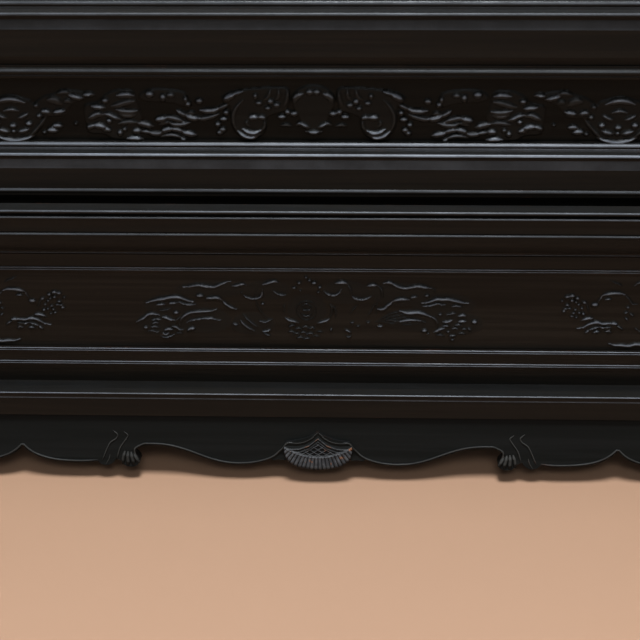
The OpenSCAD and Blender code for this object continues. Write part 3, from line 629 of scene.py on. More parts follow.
# Centre motif of the waist, left part and right part. A stroke is (half width, height, points) and a knob is
# (X, Z, radius, height, stretch); X is measured from the middle of the screen and Z from the middle of the
# opening, in millimetres. Low ones stay dim.
WAIST_LIFT = -0.3
WAIST_MIRROR_X = -2.5
WAIST_LEFT = [
    (0.95, 1.05, [(-65.4, 12.8), (-62.5, 13), (-60, 13.6), (-57.5, 14), (-55, 13.4), (-52, 13),
                  (-49.5, 13.2), (-47, 14.4), (-44, 15.7), (-41.8, 16.1)]),
    (1.1, 1.15, [(-58.6, 13.9), (-56.4, 13.8), (-54, 13.2), (-50.6, 13.2)]),
    (0.95, 1.05, [(-41.2, 13.4), (-38.5, 14), (-36, 14.6), (-34.4, 14)]),
    (0.95, 1.1, [(-26.6, 14.4), (-24.4, 15.1), (-22, 16.1), (-20, 16.4), (-18.8, 15.6)]),
    (0.65, 0.9, [(-21.4, 11), (-19.8, 9.6), (-18, 8.8), (-15, 8.6)]),
    (0.75, 1.0, [(-36.2, 8.6), (-34.6, 7.2), (-31.6, 6.2), (-28.6, 6.8), (-27, 8.2), (-26.4, 11.8)]),
    (0.5, 0.6, [(-36.2, 8.6), (-37, 10.4)]),
    (1.1, 1.15, [(-84.2, 3.2), (-82, 4.1), (-78, 5.4), (-75, 5.9), (-72, 6.8), (-69, 7), (-67.2, 6.7),
                 (-65.2, 5.7), (-62.8, 4.6), (-60.6, 4.2)]),
    (0.8, 1.05, [(-79.2, 2.2), (-77, 2.8), (-74.8, 2.7)]),
    (0.8, 1.05, [(-72.8, 3.3), (-71, 3.6), (-69, 3.5)]),
    (0.6, 0.85, [(-69, 3.7), (-67.6, 4.2), (-66, 3.3), (-63.6, 2.8), (-59.6, 2.8)]),
    (0.5, 0.65, [(-78, -1), (-75, -0.6), (-72, 0.2)]),
    (1.2, 1.2, [(-54.8, 5), (-53.6, 6.3), (-51.6, 6.4), (-49.4, 6.7), (-47.4, 5.6), (-46, 4.2)]),
    (0.9, 1.1, [(-46.6, 4.8), (-43.6, 1.9), (-41.6, 0.7), (-39.6, 0)]),
    (0.95, 0.95, [(-68.4, -10), (-67.4, -6.6), (-65.4, -4), (-62.6, -2.2), (-59, -1.6), (-55.4, -1.3),
                  (-52, -1.1), (-49.4, 0)]),
    (0.6, 0.65, [(-70.8, -9.4), (-69.8, -7), (-68, -5)]),
    (0.65, 0.85, [(-65.2, -8.6), (-62.6, -6.7), (-59.6, -6), (-56, -5.4), (-52.4, -5.4), (-50, -6.1),
                  (-47.4, -6.5)]),
    (0.75, 1.0, [(-55, -5.4), (-52.6, -5.3), (-50.4, -5.8)]),
    (0.9, 1.0, [(-89.8, -8.2), (-87, -6.4), (-85.2, -5.2), (-83.4, -3.4), (-81, -3), (-77.8, -3.8)]),
    (1.0, 1.15, [(-76.6, -4.8), (-74.6, -5.2), (-72.8, -6.3), (-70.8, -6.7)]),
    (0.6, 0.85, [(-82.6, -6.7), (-79.6, -6), (-76.8, -6.3)]),
    (0.7, 0.85, [(-82.4, -9.6), (-80.4, -8), (-78.4, -8.6)]),
    (0.7, 0.85, [(-83.2, -11.2), (-80.8, -10.4), (-78.4, -11.4)]),
    (0.6, 0.7, [(-84.4, -13.4), (-82.2, -13), (-80, -13.8), (-78, -13)]),
    (0.8, 1.0, [(-76.6, -13.8), (-74.8, -12.1), (-72.6, -12.2), (-71.2, -13.6)]),
    (0.8, 1.0, [(-77.2, -14.4), (-75.6, -15.4), (-74, -14.4)]),
    (0.65, 0.85, [(-78.4, -16.4), (-75.8, -17), (-73, -16.2), (-70.8, -15)]),
    (0.9, 0.95, [(-72.2, -10.2), (-70, -11), (-68.6, -12.4), (-66.6, -12.6)]),
    (0.6, 0.65, [(-70.6, -14.6), (-68.4, -14.2), (-66.8, -15)]),
    (1.0, 1.05, [(-64.6, -13.6), (-63.2, -11.8), (-61.4, -11.2)]),
    (0.55, 0.75, [(-36.8, -2.8), (-35, -5), (-32.6, -7.6), (-29.2, -10.8)]),
    (0.7, 0.95, [(-38, -6.2), (-36.6, -8.6), (-34.2, -10.8), (-31, -13)]),
    (0.7, 0.85, [(-41.8, -8.6), (-39.2, -9.1)]),
    (0.65, 0.75, [(-29, -6.6), (-26, -7.4), (-24, -6.6), (-22.2, -5.8)]),
    (0.75, 1.0, [(-27.4, -13), (-25.4, -12.8), (-23.4, -12)]),
    (0.65, 0.9, [(-26.4, -14.4), (-23.4, -15.4)]),
    (0.9, 1.05, [(-15.8, -5), (-13.6, -6.4), (-11.4, -7), (-9.2, -8)]),
    (0.5, 0.6, [(-15.6, 3.4), (-16.4, 0.6), (-16, -2.4)]),
    (0.45, 0.6, [(-29, 12), (-30, 6), (-28.4, 0), (-24.6, -6)]),
]
WAIST_LEFT_KNOBS = [(-57.3, 7.8, 1.4, 1.2, 1.4), (-69.6, -2.2, 1.1, 1.1, 1.3), (-85.2, -11.2, 1.2, 1.0, 1.0),
                    (-26.7, 3.4, 0.8, 1.1, 1.0), (-62, -11.5, 1.2, 1.15, 1.2), (-8.5, 15.4, 1.1, 0.9, 1.0),
                    (-11, 12.6, 1.0, 0.9, 1.2), (-8, 11.2, 0.7, 0.75, 1.0), (-5.1, 18.7, 1.0, 1.0, 0.8),
                    (-3.5, 17, 0.9, 1.0, 1.0), (-1.3, 15.5, 1.2, 1.15, 1.1), (1.5, 13.1, 1.1, 1.1, 0.9),
                    (0.8, 10.3, 0.8, 0.9, 1.0)]
WAIST_RIGHT = [
    (0.7, 0.95, [(3.4, 11.2), (4.8, 9.6), (6.8, 8.9), (8.8, 8.8), (10.6, 9.9), (12, 12)]),
    (1.1, 1.15, [(9.2, 15.4), (11.4, 16), (13.4, 15.9), (15, 14.8)]),
    (0.6, 0.75, [(14.6, 15.2), (15.9, 13.4), (16.6, 11), (17, 8.4)]),
    (0.8, 1.0, [(17, 8.6), (18.6, 6.9), (21.4, 6.2), (24, 6.6), (26.6, 8.2)]),
    (1.0, 1.1, [(24.4, 13.8), (27, 14.6), (29.6, 14.1)]),
    (0.55, 0.75, [(29.4, 14.2), (31.2, 12.6), (31.8, 9.8), (31.6, 6)]),
    (0.95, 1.05, [(32.2, 15.6), (35, 16.2), (37, 15.3), (39.6, 13.8), (42.6, 13), (45.4, 13.4), (48, 14),
                  (50.6, 14), (53, 13.2), (55.6, 13)]),
    (1.1, 1.15, [(33.4, 16), (35.4, 16), (37, 15.2)]),
    (1.1, 1.15, [(46.6, 13.7), (49.4, 14.1), (52, 13.6), (55, 13)]),
    (0.5, 0.6, [(55.6, 13), (57.2, 12), (57, 10)]),
    (1.0, 1.1, [(29.4, 0.8), (31.4, 0.4), (33.4, 1.2), (35, 3.1), (37, 5)]),
    (1.1, 1.15, [(36.6, 4.8), (39.6, 6.4), (42.4, 6.6), (45, 6.2)]),
    (0.9, 1.0, [(45.6, 7.2), (47, 8), (48.8, 8)]),
    (1.1, 1.2, [(51.2, 4.3), (54, 4.8), (56.4, 5.8), (58.6, 6.8), (61, 6.6), (63.8, 6.8), (66, 6.2),
                (69, 5.4), (71.4, 4.6), (74, 4.4)]),
    (0.75, 1.0, [(51.6, 2.7), (54.8, 3), (57, 3.7), (59.2, 4.4), (60.8, 3.6), (62.8, 3.8)]),
    (0.8, 0.9, [(65.6, 2.6), (68.2, 3), (71, 2.2)]),
    (1.1, 1.2, [(40.6, -0.3), (43, -1.2), (46, -1.4), (49, -1), (51.6, -1.6), (54, -2.8), (55.8, -3.6)]),
    (0.7, 0.8, [(55.4, -3.4), (57.6, -4.6), (58.9, -7), (59.2, -9.6)]),
    (0.8, 1.05, [(39.2, -6.9), (42, -6), (45, -5.4), (48.4, -5.5), (51, -6)]),
    (0.5, 0.65, [(34.4, -6), (37.6, -6.1), (40, -6.6)]),
    (0.5, 0.65, [(51, -6), (53.6, -7.2)]),
    (0.9, 1.1, [(57.4, -12.9), (59, -12.1), (60.4, -10.9), (62.6, -10.2)]),
    (0.85, 1.0, [(61.6, -6.4), (64, -6.4), (66.4, -5.3)]),
    (0.85, 1.1, [(69.2, -6.3), (71.2, -5.9), (73.2, -6.2)]),
    (0.8, 1.0, [(68.8, -3.3), (71.2, -2.4), (73, -3)]),
    (0.6, 0.8, [(63, -2.2), (65, -2), (66.4, -1.2), (68.2, -1.6)]),
    (0.6, 0.8, [(67.4, -8.6), (69.4, -7.8), (71.4, -8.6)]),
    (0.6, 0.8, [(61.4, -9), (63.4, -8.6), (65.4, -9.4)]),
    (0.6, 0.75, [(66, -10.8), (67.8, -10), (69.8, -10.8)]),
    (0.6, 0.75, [(70.8, -11.2), (72.4, -10.4), (73.8, -11.4)]),
    (0.6, 0.8, [(74.2, -9.6), (75.2, -11), (74.8, -12.4)]),
    (0.7, 0.9, [(65, -15), (67, -14.6), (68.6, -15.2)]),
    (0.6, 0.7, [(58.4, -14.6), (60.8, -14.2), (63, -15.4)]),
    (0.6, 0.7, [(69.6, -13.4), (71.4, -13), (73.2, -14)]),
    (0.7, 0.9, [(29.6, -9.5), (32.2, -9.2)]),
    (0.85, 1.0, [(-0.2, -8.2), (2.2, -7.2), (4.4, -6.4), (6, -5.4)]),
    (0.5, 0.7, [(6, -5.4), (7, -2.6), (7.4, 0.2), (6.2, 3.8)]),
    (0.5, 0.6, [(6.8, 3.4), (8.6, 1), (9.2, -2), (8.8, -5)]),
    (0.7, 0.95, [(13.6, -11.6), (15.2, -12.4), (16.6, -14)]),
    (0.5, 0.7, [(14, -15.4), (15.6, -16), (16.8, -15)]),
    (0.6, 0.75, [(16.2, -7.7), (18, -7.1)]),
    (0.6, 0.75, [(24.2, -7.5), (25.8, -6.9)]),
    (0.5, 0.65, [(19.2, -9.6), (21, -9.2)]),
    (0.45, 0.6, [(28.6, 4.6), (27, 0.6), (24.2, -4.4)]),
    (0.45, 0.6, [(30, 6.2), (29, 1.6), (28.8, -3)]),
    (0.45, 0.6, [(19.8, 3), (17.8, 0.4), (16.2, -2.8)]),
    (0.6, 0.8, [(6.9, -10.8), (6.5, -13)]),
    (0.5, 0.6, [(-0.6, -13.4), (1.4, -12.8), (3, -13.8)]),
    (0.5, 0.6, [(-2.4, -16), (-0.4, -15.4), (1.4, -16.6)]),
]
WAIST_RIGHT_KNOBS = [(53.6, 8.8, 1.0, 0.95, 1.3), (52.8, -11.9, 1.3, 1.15, 1.1),
                     (54.7, -13.6, 0.7, 0.9, 1.0), (77.2, -6.4, 1.3, 1.25, 1.1),
                     (60.3, -2.1, 0.9, 0.9, 1.3), (64.6, -12.2, 0.9, 0.9, 1.0),
                     (66.8, -17.2, 0.8, 0.85, 1.2), (59.4, -12.1, 1.2, 1.15, 1.2)]
# Low swellings under the centre motif, as (X, Z, half length, half height, height)
MOUNDS = [(-52, 11, 18, 5, 0.25), (-72, 2, 14, 6, 0.25), (-56, -7, 14, 8, 0.25), (-24, 11, 12, 6, 0.2),
          (-32, -9, 11, 7, 0.25), (14, 10, 12, 7, 0.25), (42, 9, 17, 7, 0.25), (62, 3, 16, 7, 0.25),
          (48, -6, 16, 7, 0.25), (70, -8, 12, 7, 0.25), (-80, -9, 10, 7, 0.25), (-5, 0, 10, 9, 0.25)]
# Motif towards each end of the waist, from its inner tip to its middle at SIDE_MIDDLE_X
SIDE_MIDDLE_X = 196.0
WAIST_SIDE = [
    (0.6, 0.75, [(136.4, 4.6), (137.4, 7.2), (138.8, 9.2)]),
    (1.1, 1.2, [(138.2, 8.8), (139.4, 9.8), (141.6, 10.5), (144, 10.9), (146.6, 10.8), (149.2, 10)]),
    (0.6, 0.75, [(149, 10.1), (151, 8), (152.4, 5.8), (153.6, 4.6), (156, 4.8)]),
    (0.7, 0.95, [(139.4, 6.8), (141.2, 7.6), (143.2, 7.2)]),
    (0.6, 0.7, [(128.6, 6.6), (131, 4.6), (132, 2.2), (133, -1)]),
    (1.0, 1.1, [(129.2, -5.6), (131.4, -4.2), (134, -3.8), (135.2, -4.5)]),
    (0.9, 1.05, [(127.6, -9.9), (130.6, -9.3), (132.6, -7.8), (134.6, -6.7), (137, -6.2), (140, -7),
                 (143, -6.8), (146.8, -6.9)]),
    (1.1, 1.2, [(135, -6.6), (137, -6.2), (138.8, -6.6)]),
    (1.1, 1.15, [(144, -6.9), (145.8, -6.9), (147, -7.4)]),
    (0.7, 0.9, [(132.8, -11), (135, -9.9), (137.4, -9), (139.2, -8.8)]),
    (0.7, 0.95, [(138.6, -9.1), (141.4, -9.2), (144.2, -8.8)]),
    (0.7, 0.85, [(131.6, -13), (132.6, -11.8), (134, -11.6)]),
    (0.7, 0.95, [(135.4, -12.6), (137.4, -11.3), (139.2, -12.4)]),
    (0.7, 0.95, [(141.2, -11.8), (143.2, -11.2), (144.6, -12.6)]),
    (0.6, 0.75, [(140, -10.6), (142, -10), (144.6, -10.3)]),
    (0.6, 0.8, [(147, -8), (149, -9.4), (150, -11)]),
    (1.1, 1.05, [(144, -18.8), (146.6, -19.7), (150, -19.8), (154, -20.1), (157, -19.2), (161, -19.3),
                 (166, -18)]),
    (0.5, 0.65, [(141.4, 18.2), (144, 16.8), (146, 16), (148, 14.6)]),
    (0.8, 0.95, [(153.2, 15.2), (155.6, 17), (159.6, 17.4), (163, 16.4)]),
    (0.6, 0.8, [(149.8, -0.8), (151.6, 0.3)]),
    (0.6, 0.8, [(152.6, -0.8), (154.8, -2.4)]),
    (0.6, 0.8, [(150.6, -3.2), (152.2, -4.8)]),
    (1.0, 1.0, [(163, 14.6), (167, 15.6), (172, 14.2), (176, 11.2), (182, 10.4), (187, 12.6)]),
    (1.0, 1.0, [(160, 2.2), (164, 5.2), (169, 6.2), (174, 4), (176, 0.2), (174, -3.4), (170, -4.6)]),
    (0.85, 0.9, [(156, -9.5), (160, -12.4), (165, -12.8), (171, -10.6), (176, -9.8), (182, -11.2)]),
    (0.85, 0.9, [(166, -17.4), (171, -15.6), (178, -16.4), (184, -18.2)]),
    (0.9, 0.9, [(180, 5), (184, 7), (188, 6.4), (190, 3.4)]),
    (0.75, 0.9, [(182, -2), (186, -5.6), (190, -6)]),
]
WAIST_SIDE_KNOBS = [(121.6, 8.5, 1.3, 1.05, 1.1), (123.9, 9.1, 1.3, 1.15, 1.1), (126.5, 7.8, 1.1, 1.1, 1.0),
                    (124, 6.3, 1.1, 1.0, 1.0), (126.1, 5.5, 0.8, 0.95, 1.0), (130.1, 5.3, 1.1, 1.0, 1.0),
                    (119.3, 6.1, 1.0, 0.75, 1.0), (122, 3.8, 1.0, 0.95, 1.3), (127.4, 4.1, 0.9, 0.9, 1.0),
                    (121.2, 1.7, 0.9, 0.9, 1.2), (123.1, 1.9, 0.9, 0.9, 1.2), (126, 1.2, 0.9, 0.95, 1.0),
                    (129.1, 2.0, 0.9, 0.9, 1.0), (120.6, 0.3, 1.1, 1.15, 1.0), (125.3, -0.9, 0.9, 0.9, 1.1),
                    (128, -0.6, 0.9, 0.9, 1.0), (130, -1.3, 1.2, 1.1, 0.7), (124.6, -2.7, 0.9, 0.9, 1.2),
                    (126.8, -3.4, 0.9, 0.85, 1.0), (135.2, 4, 1.5, 1.2, 1.2), (151.4, 2.7, 1.0, 0.9, 1.0),
                    (137.6, -12.6, 0.7, 0.9, 1.0), (143.2, -12.4, 0.7, 0.9, 1.0)]


# Medallion in the middle of the waist, its bars as (Z, half length, height), and the small arcs under it as
# (X, Z, turn in degrees)
MEDALLION_X, MEDALLION_Z = -5.2, -0.4
MEDALLION_BARS = [(3.6, 1.0, 0.7), (0, 1.9, 1.05), (-3.6, 1.8, 0.85)]
MEDALLION_ARCS = [(-12.4, -10.6, 20), (-9.4, -12.2, 0), (-6, -11.4, -10), (-2.6, -12, 10),
                  (-13, -14.2, -20), (-10.4, -15.4, 10), (-7, -14.6, -15), (-3.6, -15.2, 10),
                  (-8.6, -17.6, 0), (-5.2, -18.2, 15)]
FAN_LINES = 6


def carve_waist_middle(face):
    """Faint medallion with bars across it, the small arcs under it, and a fan of lines beside it."""
    for level, half, height in MEDALLION_BARS:
        face.ridge([(MEDALLION_X - half, level), (MEDALLION_X + half, level)], 0.45, height, 0.2)
    for radius in (3.4, 5.4):
        face.arc(MEDALLION_X, MEDALLION_Z, radius, width=0.35, height=0.5, squash=0.9)
    for x, z, turn in MEDALLION_ARCS:
        face.arc(x, z, 1.5, 20 + turn, 160 + turn, 0.45, 0.75)
    for turn in range(FAN_LINES):
        fan = [(28.4, -7.4), (36 + turn * 1.6, -2.2 - turn * 1.2), (44 + turn * 1.4, -0.2 - turn * 1.5)]
        face.ridge(fan, 0.35, 0.5)


def carve_all(face, strokes, knobs):
    """Draws strokes and knobs on a carving."""
    for half, height, points in strokes:
        face.ridge(points, STROKE_BROADER * half, height)
    for x, z, radius, height, stretch in knobs:
        face.ball(x, z, KNOB_BROADER * radius, height, stretch)


def waist_carving(columns, rows):
    """Relief of a waist panel: the centre motif and a motif towards each end."""
    face, side = Carving(columns, rows), Carving(columns, rows)
    carve_all(face, WAIST_LEFT + WAIST_RIGHT, WAIST_LEFT_KNOBS + WAIST_RIGHT_KNOBS)
    carve_waist_middle(face)
    for x, z, across, up, height in MOUNDS:
        face.mound(x, z, across, up, height)
    carve_all(side, WAIST_SIDE, WAIST_SIDE_KNOBS)
    carve_all(side, mirror_strokes(WAIST_SIDE, SIDE_MIDDLE_X),
              [(2 * SIDE_MIDDLE_X - x, *rest) for x, *rest in WAIST_SIDE_KNOBS])
    for radius, count in ((2.0, 6), (4.2, 9)):
        for number in range(count):
            turn = 360 * number / count
            across, up = radius * math.cos(math.radians(turn)), radius * math.sin(math.radians(turn))
            side.arc(SIDE_MIDDLE_X + across, up, 1.5, turn - 95, turn + 95, 0.45, 0.8)
    side.ball(SIDE_MIDDLE_X, 0, 1.4, 1.1)
    side.ridge([(SIDE_MIDDLE_X - 8, 15), (SIDE_MIDDLE_X, 17.4), (SIDE_MIDDLE_X + 8, 15)], 0.9, 1.0)
    for layer in ("lines", "crest"):
        right = getattr(side, layer)
        mirrored = np.empty_like(right)
        for row in range(right.shape[1]):
            mirrored[:, row] = np.interp(2 * WAIST_MIRROR_X - columns, columns, right[:, row])
        setattr(face, layer, np.maximum(getattr(face, layer), np.maximum(right, mirrored)))
    return face


# One half of the frieze's repeat, from the middle of the screen to the medallion at FRIEZE_REPEAT.
# A stroke is (half width, height, points); a knob is (X, Z, radius, height, stretch); low ones stay dim.
FRIEZE_MIDDLE_X = -0.4
FRIEZE_REPEAT = 139.0
FRIEZE_LIFT = 0.4
# How far the drawing goes on past both ends of the repeat, and the fine and coarse steps of its grid
FRIEZE_SPARE = 14
FRIEZE_STEP, FRIEZE_COARSE = 0.48, 2.9
# How far the fine rows and the carving go on under the slips
FRIEZE_UNDER, FRIEZE_CARVED_UNDER = 0.5, 0.4
FRIEZE_MIDDLE_PLATES = [
    (0.5, [(0, 11.8), (3.6, 11.2), (7.2, 9.2), (9.6, 6), (9.4, 1.8), (6.8, -4), (5.6, -8.4), (2.6, -11.6),
           (0, -13), (-3.4, -11.6), (-6.6, -8.4), (-7.4, -4), (-10, 1.8), (-10.4, 6), (-7.8, 9.2),
           (-3.8, 11.2)]),
    (0.55, [(11, 9.6), (14, 10.8), (22, 10.6), (31, 9.6), (38, 7.6), (42, 5.4), (41, 3), (38.4, 1.6),
            (38.2, -3), (37.6, -9), (34.6, -13.8), (29.3, -15.4), (25, -14.4), (22, -10.6), (21, -4.6),
            (17, -2.6), (13, -1), (10.8, 3)]),
]
FRIEZE_MIDDLE_STROKES = [
    (1.5, 0.9, [(4.8, 7.6), (7.6, 6.2), (8.6, 3.8)]),
    (1.1, 0.95, [(2.2, -9.4), (4, -8.4), (6.2, -7.6), (7.8, -8.4)]),
    (1.3, 1.0, [(-4.4, -11.2), (-1.6, -11.6), (1, -12), (3.6, -11.8)]),
    (0.8, 0.6, [(10, -9), (12.6, -8.4), (15.4, -8.8)]),
    (0.9, 0.6, [(11.4, 9.2), (12, 5), (13.4, 1.4)]),
    (0.9, 0.6, [(15.6, 9.6), (15.8, 6.4), (17.2, 4.4)]),
    (0.9, 0.6, [(19.4, 9.6), (20.2, 6.6), (22.4, 4.6)]),
    (1.2, 0.9, [(22.2, -4.9), (23.6, -4.1), (25.2, -4.3)]),
    (1.4, 1.15, [(25.6, -4.4), (27.6, -4), (29.2, -4.8)]),
    (1.2, 1.15, [(24.6, -11), (27.4, -12.2), (30, -11.8), (32.8, -10.2)]),
    (1.2, 1.15, [(25.4, -13), (28.6, -14.6), (32, -13.8), (35, -11.4)]),
    (0.9, 0.62, [(35, -11.4), (36.6, -8), (36.8, -3.4), (35, 1), (32, 4.4)]),
    (0.8, 0.6, [(22.6, -5.4), (22.4, -8.2), (24, -11.2)]),
    (0.8, 0.55, [(30.2, -5.6), (30.8, -7.4), (29.4, -9)]),
    (1.0, 0.85, [(31.8, 8.9), (34.4, 8.1), (36.6, 7.4)]),
    (1.5, 1.2, [(35.8, 7.4), (38, 6.2), (40.4, 4.6)]),
]
FRIEZE_MIDDLE_KNOBS = [(1.6, 8.5, 1.5, 1.0, 1.2), (9, -2.6, 1.4, 1.15, 1.35), (11.9, -1.8, 1.4, 1.15, 1.0),
                       (14.5, -4.2, 1.3, 1.15, 1.6), (16.7, 2.0, 1.4, 0.95, 1.3), (19.5, 3.8, 1.5, 1.1, 1.0),
                       (20.8, 0.4, 1.2, 0.85, 1.3), (24.8, 3.0, 1.2, 0.9, 1.4), (26.3, 6.4, 1.6, 0.9, 0.65)]
FRIEZE_PLATES = [
    (0.45, [(57, 4), (59, 8), (67, 9.6), (75.4, 9.2), (79.6, 6), (77, 3.6), (70, 3), (64, 2.4), (60, 1),
            (56, 1)]),
    (0.45, [(80, -16.2), (80, -9), (79, -4), (80.4, 2), (82, 8.2), (88, 9.4), (94.6, 7), (99, 3),
            (104.6, 1.6), (105.6, -3), (105, -8), (104, -12.6), (97, -13.6), (92, -16.2)]),
    (0.4, [(101, 7), (107.6, 8.6), (113.8, 9), (118.6, 7.2), (124, 5.4), (128.6, 1), (127, -4), (120, -4.6),
           (114.6, -4), (112.4, 0), (107, 3.6)]),
    (0.4, [(130, 4), (139, 6.4), (148, 4), (152.6, -4), (150, -12), (146, -16), (139, -17), (132, -16),
           (128, -12), (125.4, -4)]),
]
FRIEZE_STROKES = [
    (1.1, 0.8, [(39.2, 1.8), (41.4, 0.7), (43.4, -0.3)]),
    (1.4, 1.15, [(42.8, 0), (45.4, -1.1), (48.4, -1.4), (51.8, -1.2)]),
    (1.2, 0.8, [(43.6, -3.2), (47, -4.4), (51, -5.4), (54, -5.2)]),
    (1.5, 1.2, [(52.6, -5.2), (55.6, -5.0), (58.6, -3.8)]),
    (1.2, 0.9, [(58.2, -3.9), (60.6, -2.7), (62.6, -1.2)]),
    (1.0, 0.62, [(54.4, -2.9), (56.2, -2.3), (58, -2.7)]),
    (1.3, 0.85, [(59.6, -7), (63, -5.6), (66.4, -4.8), (69, -5)]),
    (1.5, 1.25, [(67.8, -5.2), (70.2, -5.5), (72.4, -6.2)]),
    (1.2, 0.85, [(57, -7.4), (60.4, -8.3), (64, -8.4), (66.6, -7.6)]),
    (1.0, 0.6, [(66, -7.2), (69, -7.6), (71.4, -8.6)]),
    (1.5, 1.1, [(54.8, -13.8), (57.6, -13), (60.8, -12.4)]),
    (1.3, 0.9, [(60, -12.2), (63, -11), (66.2, -10.6)]),
    (1.4, 1.05, [(65.6, -10.6), (68, -11), (70.2, -12.2)]),
    (1.3, 0.85, [(70, -12.8), (73, -13.2), (76.6, -12.6)]),
    (1.1, 0.8, [(60.4, -15.6), (64, -14), (67.6, -13.8), (71, -14.8)]),
    (1.5, 0.95, [(74.4, -9.4), (77, -8.5), (80.6, -7.6)]),
    (1.1, 0.9, [(75.2, -12.6), (77.6, -12), (79.4, -12.2)]),
    (1.4, 1.0, [(79.6, -11.8), (81.6, -11.2), (83.4, -11.8)]),
    (1.4, 1.2, [(79.4, -16), (82.6, -15.1), (86.4, -15.4)]),
    (1.4, 1.1, [(82, 6.3), (85, 7), (89.6, 6.4)]),
    (1.4, 0.72, [(81.8, 3.6), (85.6, 3), (89.4, 1.7), (92.4, 1)]),
    (1.3, 0.85, [(80.8, -1.2), (83.6, -1.6), (87.6, -1.4), (90.4, -0.6)]),
    (1.2, 0.8, [(82, -3.2), (85.6, -3.6), (89, -2.8)]),
    (1.2, 0.72, [(81.4, -7.2), (85.4, -6.8), (90, -7.8)]),
    (1.2, 1.0, [(89, -5.6), (91.6, -4.4), (94, -3.1), (96.2, -2.9)]),
    (1.4, 1.2, [(95.8, 0.3), (98.2, 0.7), (101.6, 0.9)]),
    (1.4, 0.9, [(96.8, -3.4), (99.2, -2.9), (101.6, -4.2), (103.4, -5)]),
    (1.5, 1.2, [(95.8, -10), (98.6, -8.8), (101.4, -8.6)]),
    (1.2, 0.9, [(93.8, -11.2), (95.6, -10.7), (97.2, -11.2)]),
    (1.2, 0.85, [(101.2, -8.8), (103, -9.2), (104.4, -10.2)]),
    (1.2, 0.9, [(100.2, 6.6), (102.6, 6.9), (105, 6.6)]),
    (1.3, 1.15, [(105.2, 4.9), (108.4, 5.7), (111.6, 6.6)]),
    (1.2, 0.62, [(111, 7.6), (113.6, 8.2), (116.4, 7.4)]),
    (1.8, 0.68, [(115.8, 2.2), (118.4, 4), (121.6, 4)]),
    (1.2, 0.62, [(110.8, 2.8), (112.4, 3.8), (114, 3)]),
    (1.3, 1.15, [(114.4, -1.4), (116.8, -1.7), (119.4, -2.3)]),
    (1.3, 1.0, [(121, -2.4), (123.2, -1.6), (125, -2)]),
    (1.3, 1.0, [(116.4, -9.5), (118.6, -9.1), (120.6, -9.6)]),
    (1.4, 1.15, [(118.8, -11.9), (121.2, -11.4), (123.2, -11.8)]),
    (0.9, 0.62, [(123.4, -4.6), (126, -8.4), (129.4, -12), (132, -14.4)]),
    (1.4, 1.05, [(130, -14.3), (133.6, -15.8), (139, -16.8), (144.4, -15.8), (148, -14.3)]),
    (1.4, 1.05, [(132.6, 2.6), (136, 4), (139, 4.4), (142, 4), (145.4, 2.6)]),
    (1.0, 0.85, [(135.6, -1.5), (139, -0.6), (142.4, -1.5)]),
    (1.0, 0.8, [(131.6, -2.8), (133.8, -4.2), (136.2, -5.2)]),
    (1.2, 0.9, [(132, -10.8), (134.4, -11.6), (136.8, -12.2)]),
]
FRIEZE_KNOBS = [(40.0, -2.2, 1.4, 1.0, 1.0), (41.3, -5.4, 1.3, 1.15, 1.5), (44.1, -8.2, 1.4, 1.05, 1.0),
                (42.0, -10.9, 1.4, 0.95, 1.2), (43.3, -12.4, 1.3, 0.95, 1.2), (52.1, 3.5, 1.5, 0.95, 1.2),
                (57.2, 2.3, 1.4, 1.0, 1.0), (58.2, 4.6, 1.6, 0.85, 0.7), (65, 6.8, 1.3, 0.8, 1.6),
                (68.5, 5.6, 1.9, 1.15, 0.75), (74.5, 7.2, 1.7, 1.25, 1.2), (76.2, -8.8, 1.7, 1.05, 0.9),
                (95.1, 3.9, 1.4, 1.0, 1.2), (94.1, -6.3, 1.4, 1.05, 1.0), (87.3, -10.6, 1.2, 0.8, 1.0),
                (89.5, -12.4, 1.6, 1.0, 0.8), (126.3, -3.9, 1.3, 0.9, 1.1), (127.2, 1.2, 1.2, 0.75, 1.2),
                (124.9, -12.6, 1.0, 0.75, 1.1), (109.8, -8.1, 0.9, 0.7, 1.0), (131.5, -7.9, 1.4, 1.05, 1.2),
                (138.7, -9.0, 1.3, 0.95, 1.1), (139.4, -11.8, 1.3, 0.9, 1.3), (60.4, -16, 1.1, 0.85, 1.4)]


def frieze_carving(columns, rows):
    """Relief of the frieze: a repeat drawn once, mirrored about its medallion and about the middle."""
    step = columns[1] - columns[0]
    drawn = np.arange(-FRIEZE_SPARE, FRIEZE_REPEAT + FRIEZE_SPARE + step, step)
    inner, outer = Carving(drawn, rows), Carving(drawn, rows)
    middle_parts = (inner, FRIEZE_MIDDLE_PLATES, FRIEZE_MIDDLE_STROKES, FRIEZE_MIDDLE_KNOBS)
    for part, plates, strokes, knobs in (middle_parts, (outer, FRIEZE_PLATES, FRIEZE_STROKES, FRIEZE_KNOBS)):
        for height, outline in plates:
            part.plate(outline, height)
        carve_all(part, strokes, knobs)
    folded = np.abs(columns - FRIEZE_MIDDLE_X)
    plain = folded > FRIEZE_REPEAT
    folded = np.where(plain, 2 * FRIEZE_REPEAT - folded, folded)
    face = Carving(columns, rows)
    for layer in ("swell", "lines", "crest"):
        side = getattr(outer, layer)
        centre = np.maximum(side, getattr(inner, layer))
        for row in range(len(rows)):
            getattr(face, layer)[:, row] = np.where(plain, np.interp(folded, drawn, side[:, row]),
                                                    np.interp(folded, drawn, centre[:, row]))
    return face


def vertex_places(obj):
    """The places of a mesh's vertices, a row for each."""
    flat = np.empty(len(obj.data.vertices) * 3)
    obj.data.vertices.foreach_get("co", flat)
    return flat.reshape(-1, 3)


